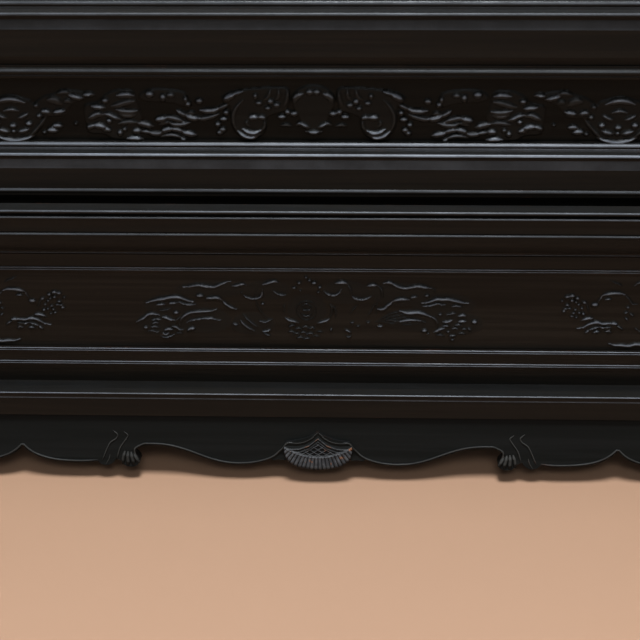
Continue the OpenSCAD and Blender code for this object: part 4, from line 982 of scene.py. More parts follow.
def relief_piece(name, places, marks, back):
    """A grid primitive put at places by column and row, with its relief marks, extruded from its rim."""
    columns, rows = marks.shape
    bpy.ops.object.select_all(action="DESELECT")
    bpy.ops.mesh.primitive_grid_add(x_subdivisions=columns - 1, y_subdivisions=rows - 1, size=1)
    relief = bpy.context.object
    relief.name = name
    drawn = vertex_places(relief) + 0.5
    column = np.rint(drawn[:, 0] * (columns - 1)).astype(int)
    row = np.rint(drawn[:, 1] * (rows - 1)).astype(int)
    relief.data.vertices.foreach_set("co", places[column, row].ravel())
    mark = relief.data.attributes.new("relief", "FLOAT", "POINT")
    mark.data.foreach_set("value", marks[column, row].astype(np.float32))
    bpy.ops.object.mode_set(mode="EDIT")
    bpy.ops.mesh.select_mode(type="EDGE")
    bpy.ops.mesh.select_all(action="DESELECT")
    bpy.ops.mesh.select_non_manifold()
    bpy.ops.mesh.extrude_region_move(TRANSFORM_OT_translate={"value": back})
    bpy.ops.mesh.edge_face_add()
    bpy.ops.mesh.select_all(action="SELECT")
    bpy.ops.mesh.normals_make_consistent(inside=False)
    bpy.ops.object.mode_set(mode="OBJECT")
    bpy.ops.object.shade_smooth_by_angle(angle=SMOOTH_ANGLE)
    return relief


def carved_board(name, columns, rows, face, scale, face_y, back_y):
    """A board whose front is the carved face, and whose back is flat."""
    heights = face.height() * scale
    x, z = np.meshgrid(columns, rows, indexing="ij")
    return relief_piece(name, np.stack([x, face_y - heights, z], axis=2), face.marks(),
                        (0, back_y - face_y, 0))


def half_turn(obj, name):
    """A copy with its own mesh, turned half round about the upright middle line."""
    copy = obj.copy()
    copy.data = obj.data.copy()
    copy.name = name
    bpy.context.scene.collection.objects.link(copy)
    copy.data.transform(Matrix.Rotation(math.pi, 4, "Z"))
    return copy


def finish_piece(obj, body, material, slot, *nodes):
    """Gives a piece its material and body, and hides the nodes it stands for. The slot is not used."""
    obj.data.materials.clear()
    obj.data.materials.append(material)
    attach(obj, body)
    if nodes:
        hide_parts(*nodes)


def spread(stops):
    """Grid places from stops of (from, to, step), in millimetres."""
    lines = [np.arange(low, high, step) for low, high, step in stops]
    return np.append(np.concatenate(lines), stops[-1][1])


# Apron, drawn on its slope: X from the middle, Y down the slope, in millimetres

def bezier(a, b, c, d, count=10):
    """Points of a cubic curve after its first point."""
    a, b, c, d = (np.array(p, float) for p in (a, b, c, d))
    t = np.linspace(0, 1, count + 1)[1:, None]
    s = 1 - t
    return s ** 3 * a + 3 * s * s * t * b + 3 * s * t * t * c + t ** 3 * d


# How deep the lobe, the crest beside it and the cusp are, and how far out the hook, the cusp and the end are
LOBE_DEEP = 27.3
CREST_DEEP = 17.2
HOOK_X = 95.0
CUSP_X = 151.5
CUSP_DEEP = 18.0
LAST_LOBE_X = 188
# The beads run inside the apron's edge by this much, and the first lobe's bead from and to these X
BEAD_INSET = 0.9
LOBE_FROM, LOBE_TO = 20, 90
# Where the bead of the first lobe ends, down the side of the hook
BEAD_END = [(93.2, 18.6), (94, 21), (93, 24), (91.6, 26.4)]
SHIELD_EDGE = np.vstack([[(0, 8.5)], bezier((0, 8.5), (5, 12.5), (10, 13.4), (16.2, 14)), [(17.8, 17.6)]])
# The bead over the shield and down to the first lobe, and the shield's inner frame
SHIELD_BEAD = [(0, 8.9), (3, 11.9), (7, 14.1), (11, 14.8), (15.2, 14.6), (16.5, 15.8), (17.8, 17.8)]
SHIELD_FRAME = [(0, 12.2), (4.6, 16.0), (9.6, 17.9), (14.3, 18.1)]
SHIELD_FRINGE = np.vstack([[(0, 29)], bezier((0, 29), (10, 29.2), (17, 26), (17.3, 19.5))])
FIRST_LOBE = np.vstack([[(18.6, 17.8)], bezier((18.6, 17.8), (21.5, 24.5), (30, LOBE_DEEP), (41, LOBE_DEEP)),
                        bezier((41, LOBE_DEEP), (58, LOBE_DEEP), (66, CREST_DEEP + 0.2), (84, CREST_DEEP)),
                        bezier((84, CREST_DEEP), (90, CREST_DEEP), (HOOK_X - 0.5, CREST_DEEP),
                               (HOOK_X, 20.5))])
OUTER_LOBE = np.vstack([[(113, 26.2)], bezier((113, 26.2), (119, 27.2), (125, 27), (131, 26.6)),
                        bezier((131, 26.6), (139, 26), (147.5, 23.5), (CUSP_X, CUSP_DEEP))])


# Ridges of the hook and of the leaf beside it, as (thickness, points)
HOOK_LINES = [
    (1.7, [(94.4, 21.4), (93.2, 24.6), (91.8, 27.0)]),
    (2.0, [(95.8, 20.8), (95.2, 24.8), (94.2, 27.9)]),
    (2.0, [(97.3, 20.6), (97.5, 24.6), (97.2, 28.1)]),
    (1.7, [(98.8, 20.4), (99.8, 24.2), (100.2, 27.6)]),
    (0.75, [(102.9, 25), (102.4, 22.3), (101.1, 18.5), (98.6, 14.8), (97.1, 12.1), (99.1, 10)]),
    (0.75, [(110.7, 25.5), (109.7, 23.4), (108.1, 19.6), (106.1, 15.9), (103.1, 13.7), (102.4, 11.6),
            (104.6, 9.4)]),
    (0.6, [(109.2, 28.2), (107.4, 25.4), (106.6, 22.4)]),
]


def on_slope(across, down, proud=0.0):
    """A point of the front apron's face, in metres, standing proud by that many millimetres."""
    top_y = RAIL_LOW.y + RAIL_BEAD + APRON_SET
    y = top_y - MM * (down * math.sin(APRON_LEAN) + proud * math.cos(APRON_LEAN))
    z = RAIL_LOW.z - MM * (down * math.cos(APRON_LEAN) - proud * math.sin(APRON_LEAN))
    return Vector((across * MM, y, z))


def inset_path(points, distance):
    """A line moved sideways by a distance, to its left."""
    path = np.array(points, float)
    along = np.gradient(path, axis=0)
    along /= np.hypot(along[:, 0], along[:, 1])[:, None]
    return path + distance * np.stack([along[:, 1], -along[:, 0]], axis=1)


# Number of points at each end of a bead over which it thins
END_POINTS = 3


def bead_lines(name, lines, ends=0.35, sides=2):
    """Round beads along 3-D points, thinner at their ends, made from one bevelled curve.
    A line is (radius, points), or (radii, points) with a radius for each point."""
    bpy.ops.object.select_all(action="DESELECT")
    bpy.ops.curve.primitive_bezier_curve_add()
    beads = bpy.context.object
    beads.name = name
    data = beads.data
    data.splines.clear()
    for radius, points in lines:
        spline = data.splines.new("POLY")
        spline.points.add(len(points) - 1)
        for number, (point, place) in enumerate(zip(spline.points, points)):
            point.co = (*place, 1)
            if np.ndim(radius):
                point.radius = radius[number] / MM
                continue
            from_end = min(number, len(points) - 1 - number)
            thin = 1.0 if from_end >= END_POINTS else ends + (1 - ends) * from_end / END_POINTS
            point.radius = radius / MM * thin
    data.dimensions = "3D"
    data.bevel_depth = MM
    data.bevel_resolution = sides
    data.use_fill_caps = True
    bpy.ops.object.convert(target="MESH")
    bpy.ops.object.shade_smooth()
    return bpy.context.object


def join(name, pieces):
    """Joins pieces into one object."""
    bpy.ops.object.select_all(action="DESELECT")
    for piece in pieces:
        piece.select_set(True)
    bpy.context.view_layer.objects.active = pieces[0]
    bpy.ops.object.join()
    joined = bpy.context.object
    joined.name = name
    return joined


def slope_line(side, points):
    """Drawn points of the apron put on its slope, to one side."""
    return [on_slope(side * x, down) for x, down in points]


def apron_beads():
    """Beads over the shield and along the lobes, and lines of the hook's leaf, on both sides."""
    radius = bpy.context.scene.screen_carving.edge_bead
    outer = inset_path(OUTER_LOBE, BEAD_INSET)
    past = [(2 * CUSP_X - x, down) for x, down in outer[::-1] if 2 * CUSP_X - x < LAST_LOBE_X]
    near, far = inset_path(FIRST_LOBE, 0.1), inset_path(FIRST_LOBE, BEAD_INSET)
    share = np.clip((FIRST_LOBE[:, :1] - LOBE_FROM) / 8, 0, 1)
    lobe = [tuple(point) for point in near + share * (far - near) if LOBE_FROM < point[0] < LOBE_TO]
    path = smooth_path(SHIELD_BEAD + lobe + BEAD_END, 1.2)
    on_shield = SHIELD_PROUD / MM - 0.2
    raised = np.interp(path[:, 0], [0, 16.4, LOBE_FROM], [on_shield, on_shield, 0])
    lines = []
    for side in (-1, 1):
        lines.append((radius, [on_slope(side * x, down, proud) for (x, down), proud in zip(path, raised)]))
        lines.append((radius, slope_line(side, np.vstack([outer, past]))))
        for thick, line in HOOK_LINES:
            lines.append((thick * radius, slope_line(side, smooth_path(line, 0.7))))
    return bead_lines("front_apron_beads", lines)


# Outline of the web that closes the notch between the shield's petals and the first lobe
WEB_OUTLINE = [(16.4, 17.2), (18.6, 17.6), (20.4, 20.2), (22.2, 22.4), (24.4, 24.0), (22.8, 24.9),
               (20.2, 24.4), (18.4, 24.6), (16.6, 24.8)]
WEB_BACK = 3


def shield_webs():
    """The two small webs beside the shield, as separate pieces."""
    pieces = []
    for side in (-1, 1):
        bpy.ops.object.select_all(action="DESELECT")
        bpy.ops.mesh.primitive_circle_add(vertices=len(WEB_OUTLINE), fill_type="NGON")
        web = bpy.context.object
        for vertex, (x, down) in zip(web.data.vertices, WEB_OUTLINE):
            vertex.co = on_slope(side * x, down, -0.1)
        bpy.ops.object.mode_set(mode="EDIT")
        bpy.ops.mesh.select_all(action="SELECT")
        back = on_slope(0, 0, -WEB_BACK) - on_slope(0, 0, 0)
        bpy.ops.mesh.extrude_region_move(TRANSFORM_OT_translate={"value": back})
        bpy.ops.mesh.select_all(action="SELECT")
        bpy.ops.mesh.normals_make_consistent(inside=False)
        bpy.ops.object.mode_set(mode="OBJECT")
        pieces.append(web)
    return pieces


# The shield's grid, and its parts in millimetres: the half width of the frame, the rim over the petals (how
# far down it is in the middle and how far it rises at a half width), the pitch and slant of the lattice, and
# the waves of the petals about their centre
SHIELD_HALF = 17.2
SHIELD_COLUMNS, SHIELD_ROWS = 217, 93
FRAME_HALF = 14.6
RIM_DOWN, RIM_RISE, RIM_HALF = 21.9, 3.9, 15
LATTICE_PITCH, LATTICE_SLANT = 2.6, 0.62
PETAL_WAVES, PETAL_CENTRE = 39, 2.0


def soft_ridge(distance, half):
    """1 on a line, falling off softly beside it."""
    return np.exp(-(distance / half) ** 2)


def shield_carving():
    """Fan-shaped shield: a double frame round a lattice, over a fringe of petals."""
    columns = np.linspace(-SHIELD_HALF, SHIELD_HALF, SHIELD_COLUMNS)
    rows = np.linspace(0, 1, SHIELD_ROWS)
    half = np.abs(columns)
    top = np.interp(half, SHIELD_EDGE[:, 0], SHIELD_EDGE[:, 1]) + 0.7
    order = np.argsort(SHIELD_FRINGE[:, 0])
    bottom = np.interp(half, SHIELD_FRINGE[order, 0], SHIELD_FRINGE[order, 1]) - 0.1
    down = top[:, None] + rows[None, :] * (bottom - top)[:, None]
    across = np.repeat(columns[:, None], len(rows), axis=1)
    frame_x, frame_down = np.array(SHIELD_FRAME).T
    from_frame = down - np.interp(half, frame_x, frame_down)[:, None]
    inward = np.minimum(from_frame, (FRAME_HALF - np.abs(across)) * 1.1)
    above = (RIM_DOWN - RIM_RISE * (half / RIM_HALF) ** 2)[:, None] - down
    frame_line = soft_ridge(inward, 0.45) + 0.8 * soft_ridge(inward - 1.7, 0.4)
    frame_line *= np.clip((above + 0.3) / 0.6, 0, 1)
    slants = (LATTICE_SLANT, -LATTICE_SLANT)
    waves = [np.cos(2 * np.pi * ((slant * across + down) / LATTICE_PITCH)) for slant in slants]
    lattice = np.clip((np.maximum(*waves) - 0.45) / 0.55, 0, 1) * np.clip((inward - 2.2) / 0.4, 0, 1)
    lattice *= np.clip(above / 0.5, 0, 1)
    rim = soft_ridge(above, 0.5)
    petals = np.abs(np.sin(np.arctan2(across, down - PETAL_CENTRE) * PETAL_WAVES)) ** 0.4
    reach = np.clip((bottom[:, None] - down) / 1.6, 0, 1) ** 0.5
    fringe = petals * reach * np.clip(-above / 0.4, 0, 1)
    bead_down = np.interp(half, *np.array(SHIELD_BEAD[:5]).T)[:, None]
    groove = soft_ridge(down - bead_down - 1.5, 0.6)
    height = 0.35 - 0.3 * groove + 0.5 * frame_line + 0.5 * lattice + 0.5 * rim + 1.1 * fringe
    marks = np.clip(0.75 * frame_line + 0.7 * lattice + 0.8 * rim + fringe, 0, 1)
    return columns, down, np.maximum(height, 0.02), marks


def shield_patch(name):
    """The carved shield on the slope, over the solid one. The grid's first row is the lower edge."""
    columns, down, height, marks = (part[..., ::-1] if part.ndim == 2 else part for part in shield_carving())
    proud = SHIELD_PROUD / MM + height
    places = np.array([[on_slope(x, *point) for point in zip(downs, prouds)]
                       for x, downs, prouds in zip(columns, down, proud)])
    return relief_piece(name, places, marks, on_slope(0, 0, -1.5) - on_slope(0, 0, 1.0))


# Spandrels and feet. A line is (radius, points) in millimetres: a spandrel's from its foot at the post, a
# foot's from the tip of its toe.
POST_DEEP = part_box("right_post")[1].y
SPANDREL_CURVES = [
    [(78, 12), (78, 24), (64, 27), (60, 20)], [(60, 20), (46, 30), (58, 56), (44, 66)],
    [(44, 66), (38, 71), (33, 66), (34, 58)], [(34, 58), (22, 92), (18, 117), (24, 157)],
    [(24, 157), (25, 164), (18, 165), (16, 159)], [(16, 159), (9, 189), (8, 225), (12, 246)]]
# The edge beads run inside the outline by this much
EDGE_INSET = 2.4
SPANDREL_LINES = [(0.9, list(inset_path(bezier(*curve, 8), -EDGE_INSET))) for curve in SPANDREL_CURVES]
SPANDREL_LINES += [
    (0.9, [(2.6, 6), (2.6, 60), (2.6, 130), (2.6, 200), (2.6, 252)]),
    (0.9, [(6, 4), (30, 4), (56, 4), (74, 5)]),
    (1.1, [(52, 12), (44, 16), (37, 26), (39, 36), (46, 37), (47, 29), (43, 27)]),
    (1.1, [(30, 12), (20, 20), (13, 36), (17, 50), (26, 52), (29, 44), (24, 39), (20, 43)]),
    (1.1, [(33, 44), (29, 54), (20, 62), (9, 66)]),
    (1.1, [(8, 78), (14, 90), (15, 104), (11, 112), (6.5, 107), (9, 102)]),
    (1.0, [(8, 128), (13, 134), (14, 146), (9, 150), (6, 145)]),
    (0.8, [(9, 72), (14, 78), (21, 80)]),
    (0.8, [(36, 12), (34, 22), (28, 30)]),
]
FOOT_LINES = [
    (0.9, [(9, 4), (4, 6), (3.4, 10), (6, 14), (7, 18), (4.4, 24), (5, 31), (11, 35), (18, 35.4), (22, 32),
           (20, 27), (15, 26.4), (12, 29.4), (14.6, 31.4)]),
    (0.9, [(27, 34), (32, 37), (35.6, 44), (37, 48)]),
    (0.9, [(24, 6), (40, 5.4), (60, 5.4), (82, 5.4), (92, 8), (96, 12)]),
    (0.8, [(30, 14), (44, 16), (60, 24), (78, 26), (94, 20)]),
    (0.8, [(40, 30), (50, 36), (62, 36), (68, 31), (62, 28), (58, 31)]),
    (0.8, [(76, 34), (88, 36), (100, 34), (110, 38), (122, 42)]),
]


# Painting on the porcelain, drawn in millimetres from the middle of its opening

PORCELAIN_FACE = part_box("porcelain_panel")[0].y
OPENING_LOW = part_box("porcelain_slip_bottom")[1].z / MM
OPENING_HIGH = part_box("porcelain_slip_top")[0].z / MM
OPENING_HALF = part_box("porcelain_slip_right")[0].x / MM
PAINTING_MIDDLE = (OPENING_LOW + OPENING_HIGH) / 2
PAINTING_HALF_HIGH = (OPENING_HIGH - OPENING_LOW) / 2
# Border of square spirals: the inset and half width of its lines, and one spiral as shares of its pitch
BORDER_LINES = [(5, 1.2), (9, 0.6), (29, 0.6), (33, 1.2)]
KEY_SPIRAL = [(0, 0), (0, 1), (0.84, 1), (0.84, 0), (0.26, 0), (0.26, 0.68), (0.6, 0.68), (0.6, 0.32)]
KEY_INSET, KEY_DEEP, KEY_PITCH, KEY_SHIFT = 12, 14.0, 16, 0.08
# Cloud bracket in a corner, from its corner, and the dots beside it as (X, Z, radius)
CORNER_INSET = 38
CORNER_BRACKET = [(92, 0), (86, 12), (74, 12), (70, 22), (58, 24), (50, 34), (42, 42), (34, 50), (24, 58),
                  (22, 70), (12, 74), (12, 86), (0, 92)]
CORNER_DOTS = [(18, 18, 9), (38, 15, 6), (15, 38, 6), (56, 11, 4), (11, 56, 4)]
# Roundel: its rings as (radius, half width), and its lappets as (count, inner radius, outer radius, half
# width)
ROUNDEL_RINGS = [(96, 1.2), (100, 0.6), (118, 0.8)]
LAPPETS = (30, 101, 116, 8.4)
# Flowers, as (X, Z, radius): the one in the roundel, those over and beside it, and those in a quarter
ROUNDEL_FLOWER = (0, 0, 88)
OVER_FLOWER = (0, 206, 52)
BESIDE_FLOWER = (160, 0, 32)
SIDE_FLOWERS = [(132, 232, 42), (156, 108, 30)]
# Length of a leaf, and the stems of the vines in a quarter of the field
LEAF_LENGTH = 19
VINES = [[(0, 140), (34, 146), (58, 168), (70, 200), (84, 222)],
         [(0, 266), (40, 284), (86, 294), (132, 286), (168, 268), (188, 232), (180, 196)],
         [(60, 172), (88, 158), (118, 166), (142, 178)],
         [(180, 196), (192, 160), (196, 120), (194, 80), (180, 58), (160, 58), (150, 72)],
         [(118, 60), (130, 90), (122, 120), (100, 134), (84, 128)],
         [(194, 80), (202, 50), (200, 20), (196, 4)],
         [(20, 302), (60, 318), (100, 322), (128, 312)]]


class Painting:
    """Brush lines and pale washes, gathered before they become pieces."""

    def __init__(self):
        self.lines = []
        self.washes = []

    def place(self, points):
        """Drawn points on the face of the porcelain."""
        return [(x * MM, PORCELAIN_FACE, (z + PAINTING_MIDDLE) * MM) for x, z in points]

    def line(self, points, half=0.7, step=4.0, straight=False):
        """A brush line through drawn points."""
        path = np.array(points, float) if straight else smooth_path(points, step)
        self.lines.append((half * MM, self.place(path)))

    def wash(self, points, half, step=5.0):
        """A broad stroke that swells from its ends to its middle."""
        path = smooth_path(points, step)
        share = np.linspace(0, 1, len(path))
        radii = half * MM * np.maximum(np.sin(np.pi * share) ** 0.6, 0.02)
        self.washes.append((radii, self.place(path)))

    def ring(self, x, z, radius, half, count):
        """A circle of a brush line, with count straight parts."""
        turns = np.linspace(0, 2 * math.pi, count + 1)
        path = np.stack([x + radius * np.cos(turns), z + radius * np.sin(turns)], axis=1)
        self.line(path, half, straight=True)

    def petal(self, x, z, angle, near, far, half):
        """A pointed petal from near to far along a direction, with its wash and a vein."""
        along = np.array((math.cos(angle), math.sin(angle)))
        across = np.array((-along[1], along[0]))
        middle = np.array((x, z), float)

        def at(out, aside):
            return middle + along * (near + (far - near) * out) + across * half * aside
        self.line([at(0, 0), at(0.32, 0.9), at(0.76, 0.8), at(1, 0), at(0.76, -0.8), at(0.32, -0.9),
                   at(0, 0)], step=20)
        self.line([at(0.2, 0), at(0.62, 0.1)], 0.4, 20)
        self.wash([at(0.1, 0), at(0.5, 0.06), at(0.94, 0)], 0.72 * half)

    def flower(self, x, z, radius, count=8):
        """A lotus seen from above: two rows of petals round a seed head."""
        for number in range(count):
            turn = 2 * math.pi * number / count
            self.petal(x, z, turn + math.pi / count, 0.5 * radius, radius, 0.27 * radius)
            self.petal(x, z, turn, 0.24 * radius, 0.7 * radius, 0.2 * radius)
        self.ring(x, z, 0.22 * radius, 0.7, 20)
        for number in range(6):
            turn = math.pi * number / 3
            across, up = 0.12 * radius * math.cos(turn), 0.12 * radius * math.sin(turn)
            self.ring(x + across, z + up, 0.03 * radius, 0.5, 6)

    def leaf(self, x, z, angle, length):
        """A curled leaf: two edges, a vein and a wash."""
        along = np.array((math.cos(angle), math.sin(angle)))
        across = np.array((-along[1], along[0]))
        start = np.array((x, z), float)

        def at(out, aside):
            return start + length * (along * out + across * aside)
        self.line([at(0, 0), at(0.5, 0.22), at(1, 0.04)], 0.6, 20)
        self.line([at(0, 0), at(0.5, -0.12), at(1, 0.04)], 0.6, 20)
        self.line([at(0.1, 0.02), at(0.85, 0.05)], 0.4, 30)
        self.wash([at(0.06, 0.01), at(0.5, 0.06), at(0.96, 0.04)], 0.15 * length, 20)

    def vine(self, points):
        """A stem with leaves on both sides in turn, every third one shorter."""
        self.line(points, 1.1)
        path = smooth_path(points, 13)
        for number in range(1, len(path) - 1):
            ahead = path[number + 1] - path[number - 1]
            turn = math.atan2(ahead[1], ahead[0]) + (0.95 if number % 2 else -0.95)
            self.leaf(*path[number], turn, LEAF_LENGTH * (1.0 if number % 3 else 0.75))


def paint_border(painting):
    """Double lines and a band of square spirals between them."""
    for inset, half in BORDER_LINES:
        x, z = OPENING_HALF - inset, PAINTING_HALF_HIGH - inset
        painting.line([(-x, -z), (x, -z), (x, z), (-x, z), (-x, -z), (-x + 6, -z)], half, straight=True)
    x, z = OPENING_HALF - KEY_INSET, PAINTING_HALF_HIGH - KEY_INSET
    across, upright = round(2 * x / KEY_PITCH), round((2 * z - 2 * KEY_DEEP) / KEY_PITCH)
    for number in range(across):
        pitch = 2 * x / across
        spiral = [(-x + (number + u + KEY_SHIFT) * pitch, z - KEY_DEEP * (1 - v))
                  for u, v in KEY_SPIRAL]
        for side in (-1, 1):
            painting.line([(along, side * away) for along, away in spiral], 0.8, straight=True)
    for number in range(upright):
        pitch = 2 * (z - KEY_DEEP) / upright
        spiral = [(x - KEY_DEEP * (1 - v), -z + KEY_DEEP + (number + u + KEY_SHIFT) * pitch)
                  for u, v in KEY_SPIRAL]
        for side in (-1, 1):
            painting.line([(side * away, along) for away, along in spiral], 0.8, straight=True)


def paint_corners(painting):
    """A cloud bracket and dots in each corner of the field."""
    x, z = OPENING_HALF - CORNER_INSET, PAINTING_HALF_HIGH - CORNER_INSET
    for side in (-1, 1):
        for end in (-1, 1):
            for grow, half in ((1.0, 1.0), (0.88, 0.5)):
                bracket = [(side * (x - grow * u), end * (z - grow * v)) for u, v in CORNER_BRACKET]
                painting.line(bracket, half)
            for u, v, radius in CORNER_DOTS:
                across, up, reach = side * (x - u), end * (z - v), 0.8 * radius
                painting.ring(across, up, radius, 0.6, 18)
                painting.ring(across, up, 0.5 * radius, 0.5, 10)
                painting.wash([(across - reach, up), (across, up), (across + reach, up)], reach)


def paint_roundel(painting):
    """Large lotus in a ring, with a border of small lappets."""
    for radius, half in ROUNDEL_RINGS:
        painting.ring(0, 0, radius, half, 72)
    count, near, far, half = LAPPETS
    for number in range(count):
        painting.petal(0, 0, 2 * math.pi * number / count, near, far, half)
    painting.flower(*ROUNDEL_FLOWER, 10)


def paint_sprays(painting):
    """Leafy vines with flowers above and below the roundel and beside it."""
    for end in (-1, 1):
        x, z, radius = OVER_FLOWER
        painting.flower(x, end * z, radius)
        for side in (-1, 1):
            for x, z, radius in SIDE_FLOWERS:
                painting.flower(side * x, end * z, radius)
            for points in VINES:
                painting.vine([(side * x, end * z) for x, z in points])
    for side in (-1, 1):
        x, z, radius = BESIDE_FLOWER
        painting.flower(side * x, z, radius)


# Operators: one for each piece or group of like pieces

class SCREEN_OT_finishes(Operator):
    """Give every piece of the construction its lacquer, oiled wood or glaze"""
    bl_idname = "panel_screen.finishes"
    bl_label = "Lacquer the Frame"

    def execute(self, context):
        colours = context.scene.screen_finish
        across = lacquer_material("lacquer_rails", ALONG_X, roughness=None)
        upright = lacquer_material("lacquer_posts", ALONG_Z)
        deep = lacquer_material("lacquer_feet", ALONG_Y)
        apron = apron_material("dusty_apron_lacquer", 0.0)
        apron_material("apron_bead_lacquer", 0.42)
        shield_material()
        raw = raw_wood_material()
        glaze = porcelain_material()
        carved = carved_material("carved_lacquer", colours.ground, colours.raised,
                                 wear_and_highlight=1.3, grey_from=0.0, grey_to=0.45)
        frieze = carved_material("frieze_lacquer", colours.frieze_shaded_ground, colours.frieze_raised,
                                 wear_and_highlight=1.8, grey_from=0.1, grey_to=0.8)
        uprights = ("post", "stile", "slip_left", "slip_right", "fillet_left", "fillet_right", "spandrel")
        choices = ((("apron",), apron), (("porcelain_panel",), glaze), (("board", "batten"), raw),
                   (("waist_panel",), carved), (("frieze_panel",), frieze), (("foot",), deep),
                   (uprights, upright))
        for name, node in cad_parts.items():
            fitting = (material for words, material in choices if any(word in name for word in words))
            node.data.materials.clear()
            node.data.materials.append(next(fitting, across))
        return {"FINISHED"}


class SCREEN_OT_waist(Operator):
    """Carve the waist panels in low relief, front and back"""
    bl_idname = "panel_screen.waist"
    bl_label = "Carve the Waist"

    def execute(self, context):
        scale = context.scene.screen_carving.waist_relief
        reach = WAIST_HIGH.x / MM
        # Fine steps where the three motifs are, and coarse ones between them
        columns = spread([(-reach, -274, 3.0), (-274, -120, 0.52), (-120, -92, 2.8), (-92, 84, 0.5),
                          (84, 114, 3.0), (114, 270, 0.52), (270, reach, 3.0)])
        low, high = WAIST_STILE_LOW.z / MM, WAIST_STILE_HIGH.z / MM
        rows = spread([(WAIST_LOW.z / MM, low + 1, 2.4), (low + 1, high - 1, 0.5),
                       (high - 1, WAIST_HIGH.z / MM, 2.4)])
        face = waist_carving(columns, rows - (low + high) / 2 - WAIST_LIFT)
        front = carved_board("front_waist_carving", columns * MM, rows * MM, face, scale,
                             WAIST_LOW.y, WAIST_HIGH.y)
        back = half_turn(front, "back_waist_carving")
        carved = bpy.data.materials["carved_lacquer"]
        finish_piece(front, "stand", carved, "carved_wood", "front_waist_panel")
        finish_piece(back, "stand", carved, "carved_wood", "back_waist_panel")
        return {"FINISHED"}


class SCREEN_OT_frieze(Operator):
    """Carve the frieze of the framed panel in high relief"""
    bl_idname = "panel_screen.frieze"
    bl_label = "Carve the Frieze"

    def execute(self, context):
        scale = context.scene.screen_carving.frieze_relief
        reach = FRIEZE_HIGH.x / MM
        columns = np.linspace(-reach, reach, int(2 * reach / FRIEZE_STEP))
        low, high = FRIEZE_SLIP_HIGH.z / MM, FRIEZE_TOP_SLIP_LOW.z / MM
        rows = spread([(FRIEZE_LOW.z / MM, low - FRIEZE_UNDER, FRIEZE_COARSE),
                       (low - FRIEZE_UNDER, high + FRIEZE_UNDER, FRIEZE_STEP),
                       (high + FRIEZE_UNDER, FRIEZE_HIGH.z / MM, FRIEZE_COARSE)])
        face = frieze_carving(columns, rows - (low + high) / 2 - FRIEZE_LIFT)
        face.clear((rows < low - FRIEZE_CARVED_UNDER) | (rows > high + FRIEZE_CARVED_UNDER))
        board = carved_board("frieze_carving", columns * MM, rows * MM, face, scale,
                             FRIEZE_LOW.y, FRIEZE_HIGH.y)
        finish_piece(board, "screen", bpy.data.materials["frieze_lacquer"], "carved_wood", "frieze_panel")
        return {"FINISHED"}


class SCREEN_OT_aprons(Operator):
    """Add the beads, leaves and shield to both aprons"""
    bl_idname = "panel_screen.aprons"
    bl_label = "Carve the Aprons"

    def execute(self, context):
        beads = apron_beads()
        webs = join("front_apron_webs", shield_webs())
        shield = shield_patch("front_apron_shield")
        for piece, name, finish in ((beads, "back_apron_beads", "apron_bead_lacquer"),
                                    (webs, "back_apron_webs", "dusty_apron_lacquer"),
                                    (shield, "back_apron_shield", "apron_shield_lacquer")):
            other = half_turn(piece, name)
            finish_piece(piece, "stand", bpy.data.materials[finish], "dusty_apron")
            finish_piece(other, "stand", bpy.data.materials[finish], "dusty_apron")
        return {"FINISHED"}


def on_corners(drawn, step, faces, start, outward, base):
    """Drawn lines on both faces of what stands at each of the four corners, from its start along Y."""
    lines = []
    for side in (-1, 1):
        for end in (-1, 1):
            for x in (side * faces[0], side * faces[1]):
                for radius, points in drawn:
                    path = smooth_path(points, step)
                    lines.append((radius * MM, [(x, end * (start + outward * u * MM), base + z * MM)
                                                for u, z in path]))
    return lines


class SCREEN_OT_spandrels(Operator):
    """Add edge beads and spirals to both faces of the standing spandrels"""
    bl_idname = "panel_screen.spandrels"
    bl_label = "Carve the Spandrels"

    def execute(self, context):
        low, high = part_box("right_front_spandrel")
        lines = on_corners(SPANDREL_LINES, 2.0, (low.x, high.x), POST_DEEP, 1, low.z)
        finish_piece(bead_lines("spandrel_carving", lines), "stand", bpy.data.materials["lacquer_posts"],
                     "carved_wood")
        return {"FINISHED"}


class SCREEN_OT_feet(Operator):
    """Add scrolls and edge beads to the toes of the feet"""
    bl_idname = "panel_screen.feet"
    bl_label = "Carve the Feet"

    def execute(self, context):
        lines = on_corners(FOOT_LINES, 1.5, (FOOT_LOW.x, FOOT_HIGH.x), FOOT_HIGH.y, -1, 0.0)
        finish_piece(bead_lines("foot_carving", lines), "stand", bpy.data.materials["lacquer_feet"],
                     "carved_wood")
        return {"FINISHED"}


class SCREEN_OT_painting(Operator):
    """Paint the porcelain in blue and white, front only"""
    bl_idname = "panel_screen.painting"
    bl_label = "Paint the Porcelain"

    def execute(self, context):
        painting = Painting()
        paint_border(painting)
        paint_corners(painting)
        paint_roundel(painting)
        paint_sprays(painting)
        blue = painted_material("cobalt_lines", LINE_BLUES)
        wash = painted_material("cobalt_washes", WASH_BLUES)
        for name, lines, flat, material in (("porcelain_lines", painting.lines, 0.09, blue),
                                            ("porcelain_washes", painting.washes, 0.005, wash)):
            piece = bead_lines(name, lines, 0.5, 0)
            places = vertex_places(piece)
            places[:, 1] = PORCELAIN_FACE + flat * (places[:, 1] - PORCELAIN_FACE)
            piece.data.vertices.foreach_set("co", places.ravel())
            bpy.ops.object.shade_flat()
            finish_piece(piece, "screen", material, "porcelain")
        return {"FINISHED"}


class SCREEN_OT_stage(Operator):
    """Set the camera, the plain floor and the soft lights"""
    bl_idname = "panel_screen.stage"
    bl_label = "Set the Stage"

    def execute(self, context):
        add_floor()
        add_camera()
        add_lights()
        context.scene.view_settings.view_transform = "Standard"
        return {"FINISHED"}


FLOOR_SIZE = 12
SENSOR_WIDTH = 36
NEAREST_SEEN = 10 * MM


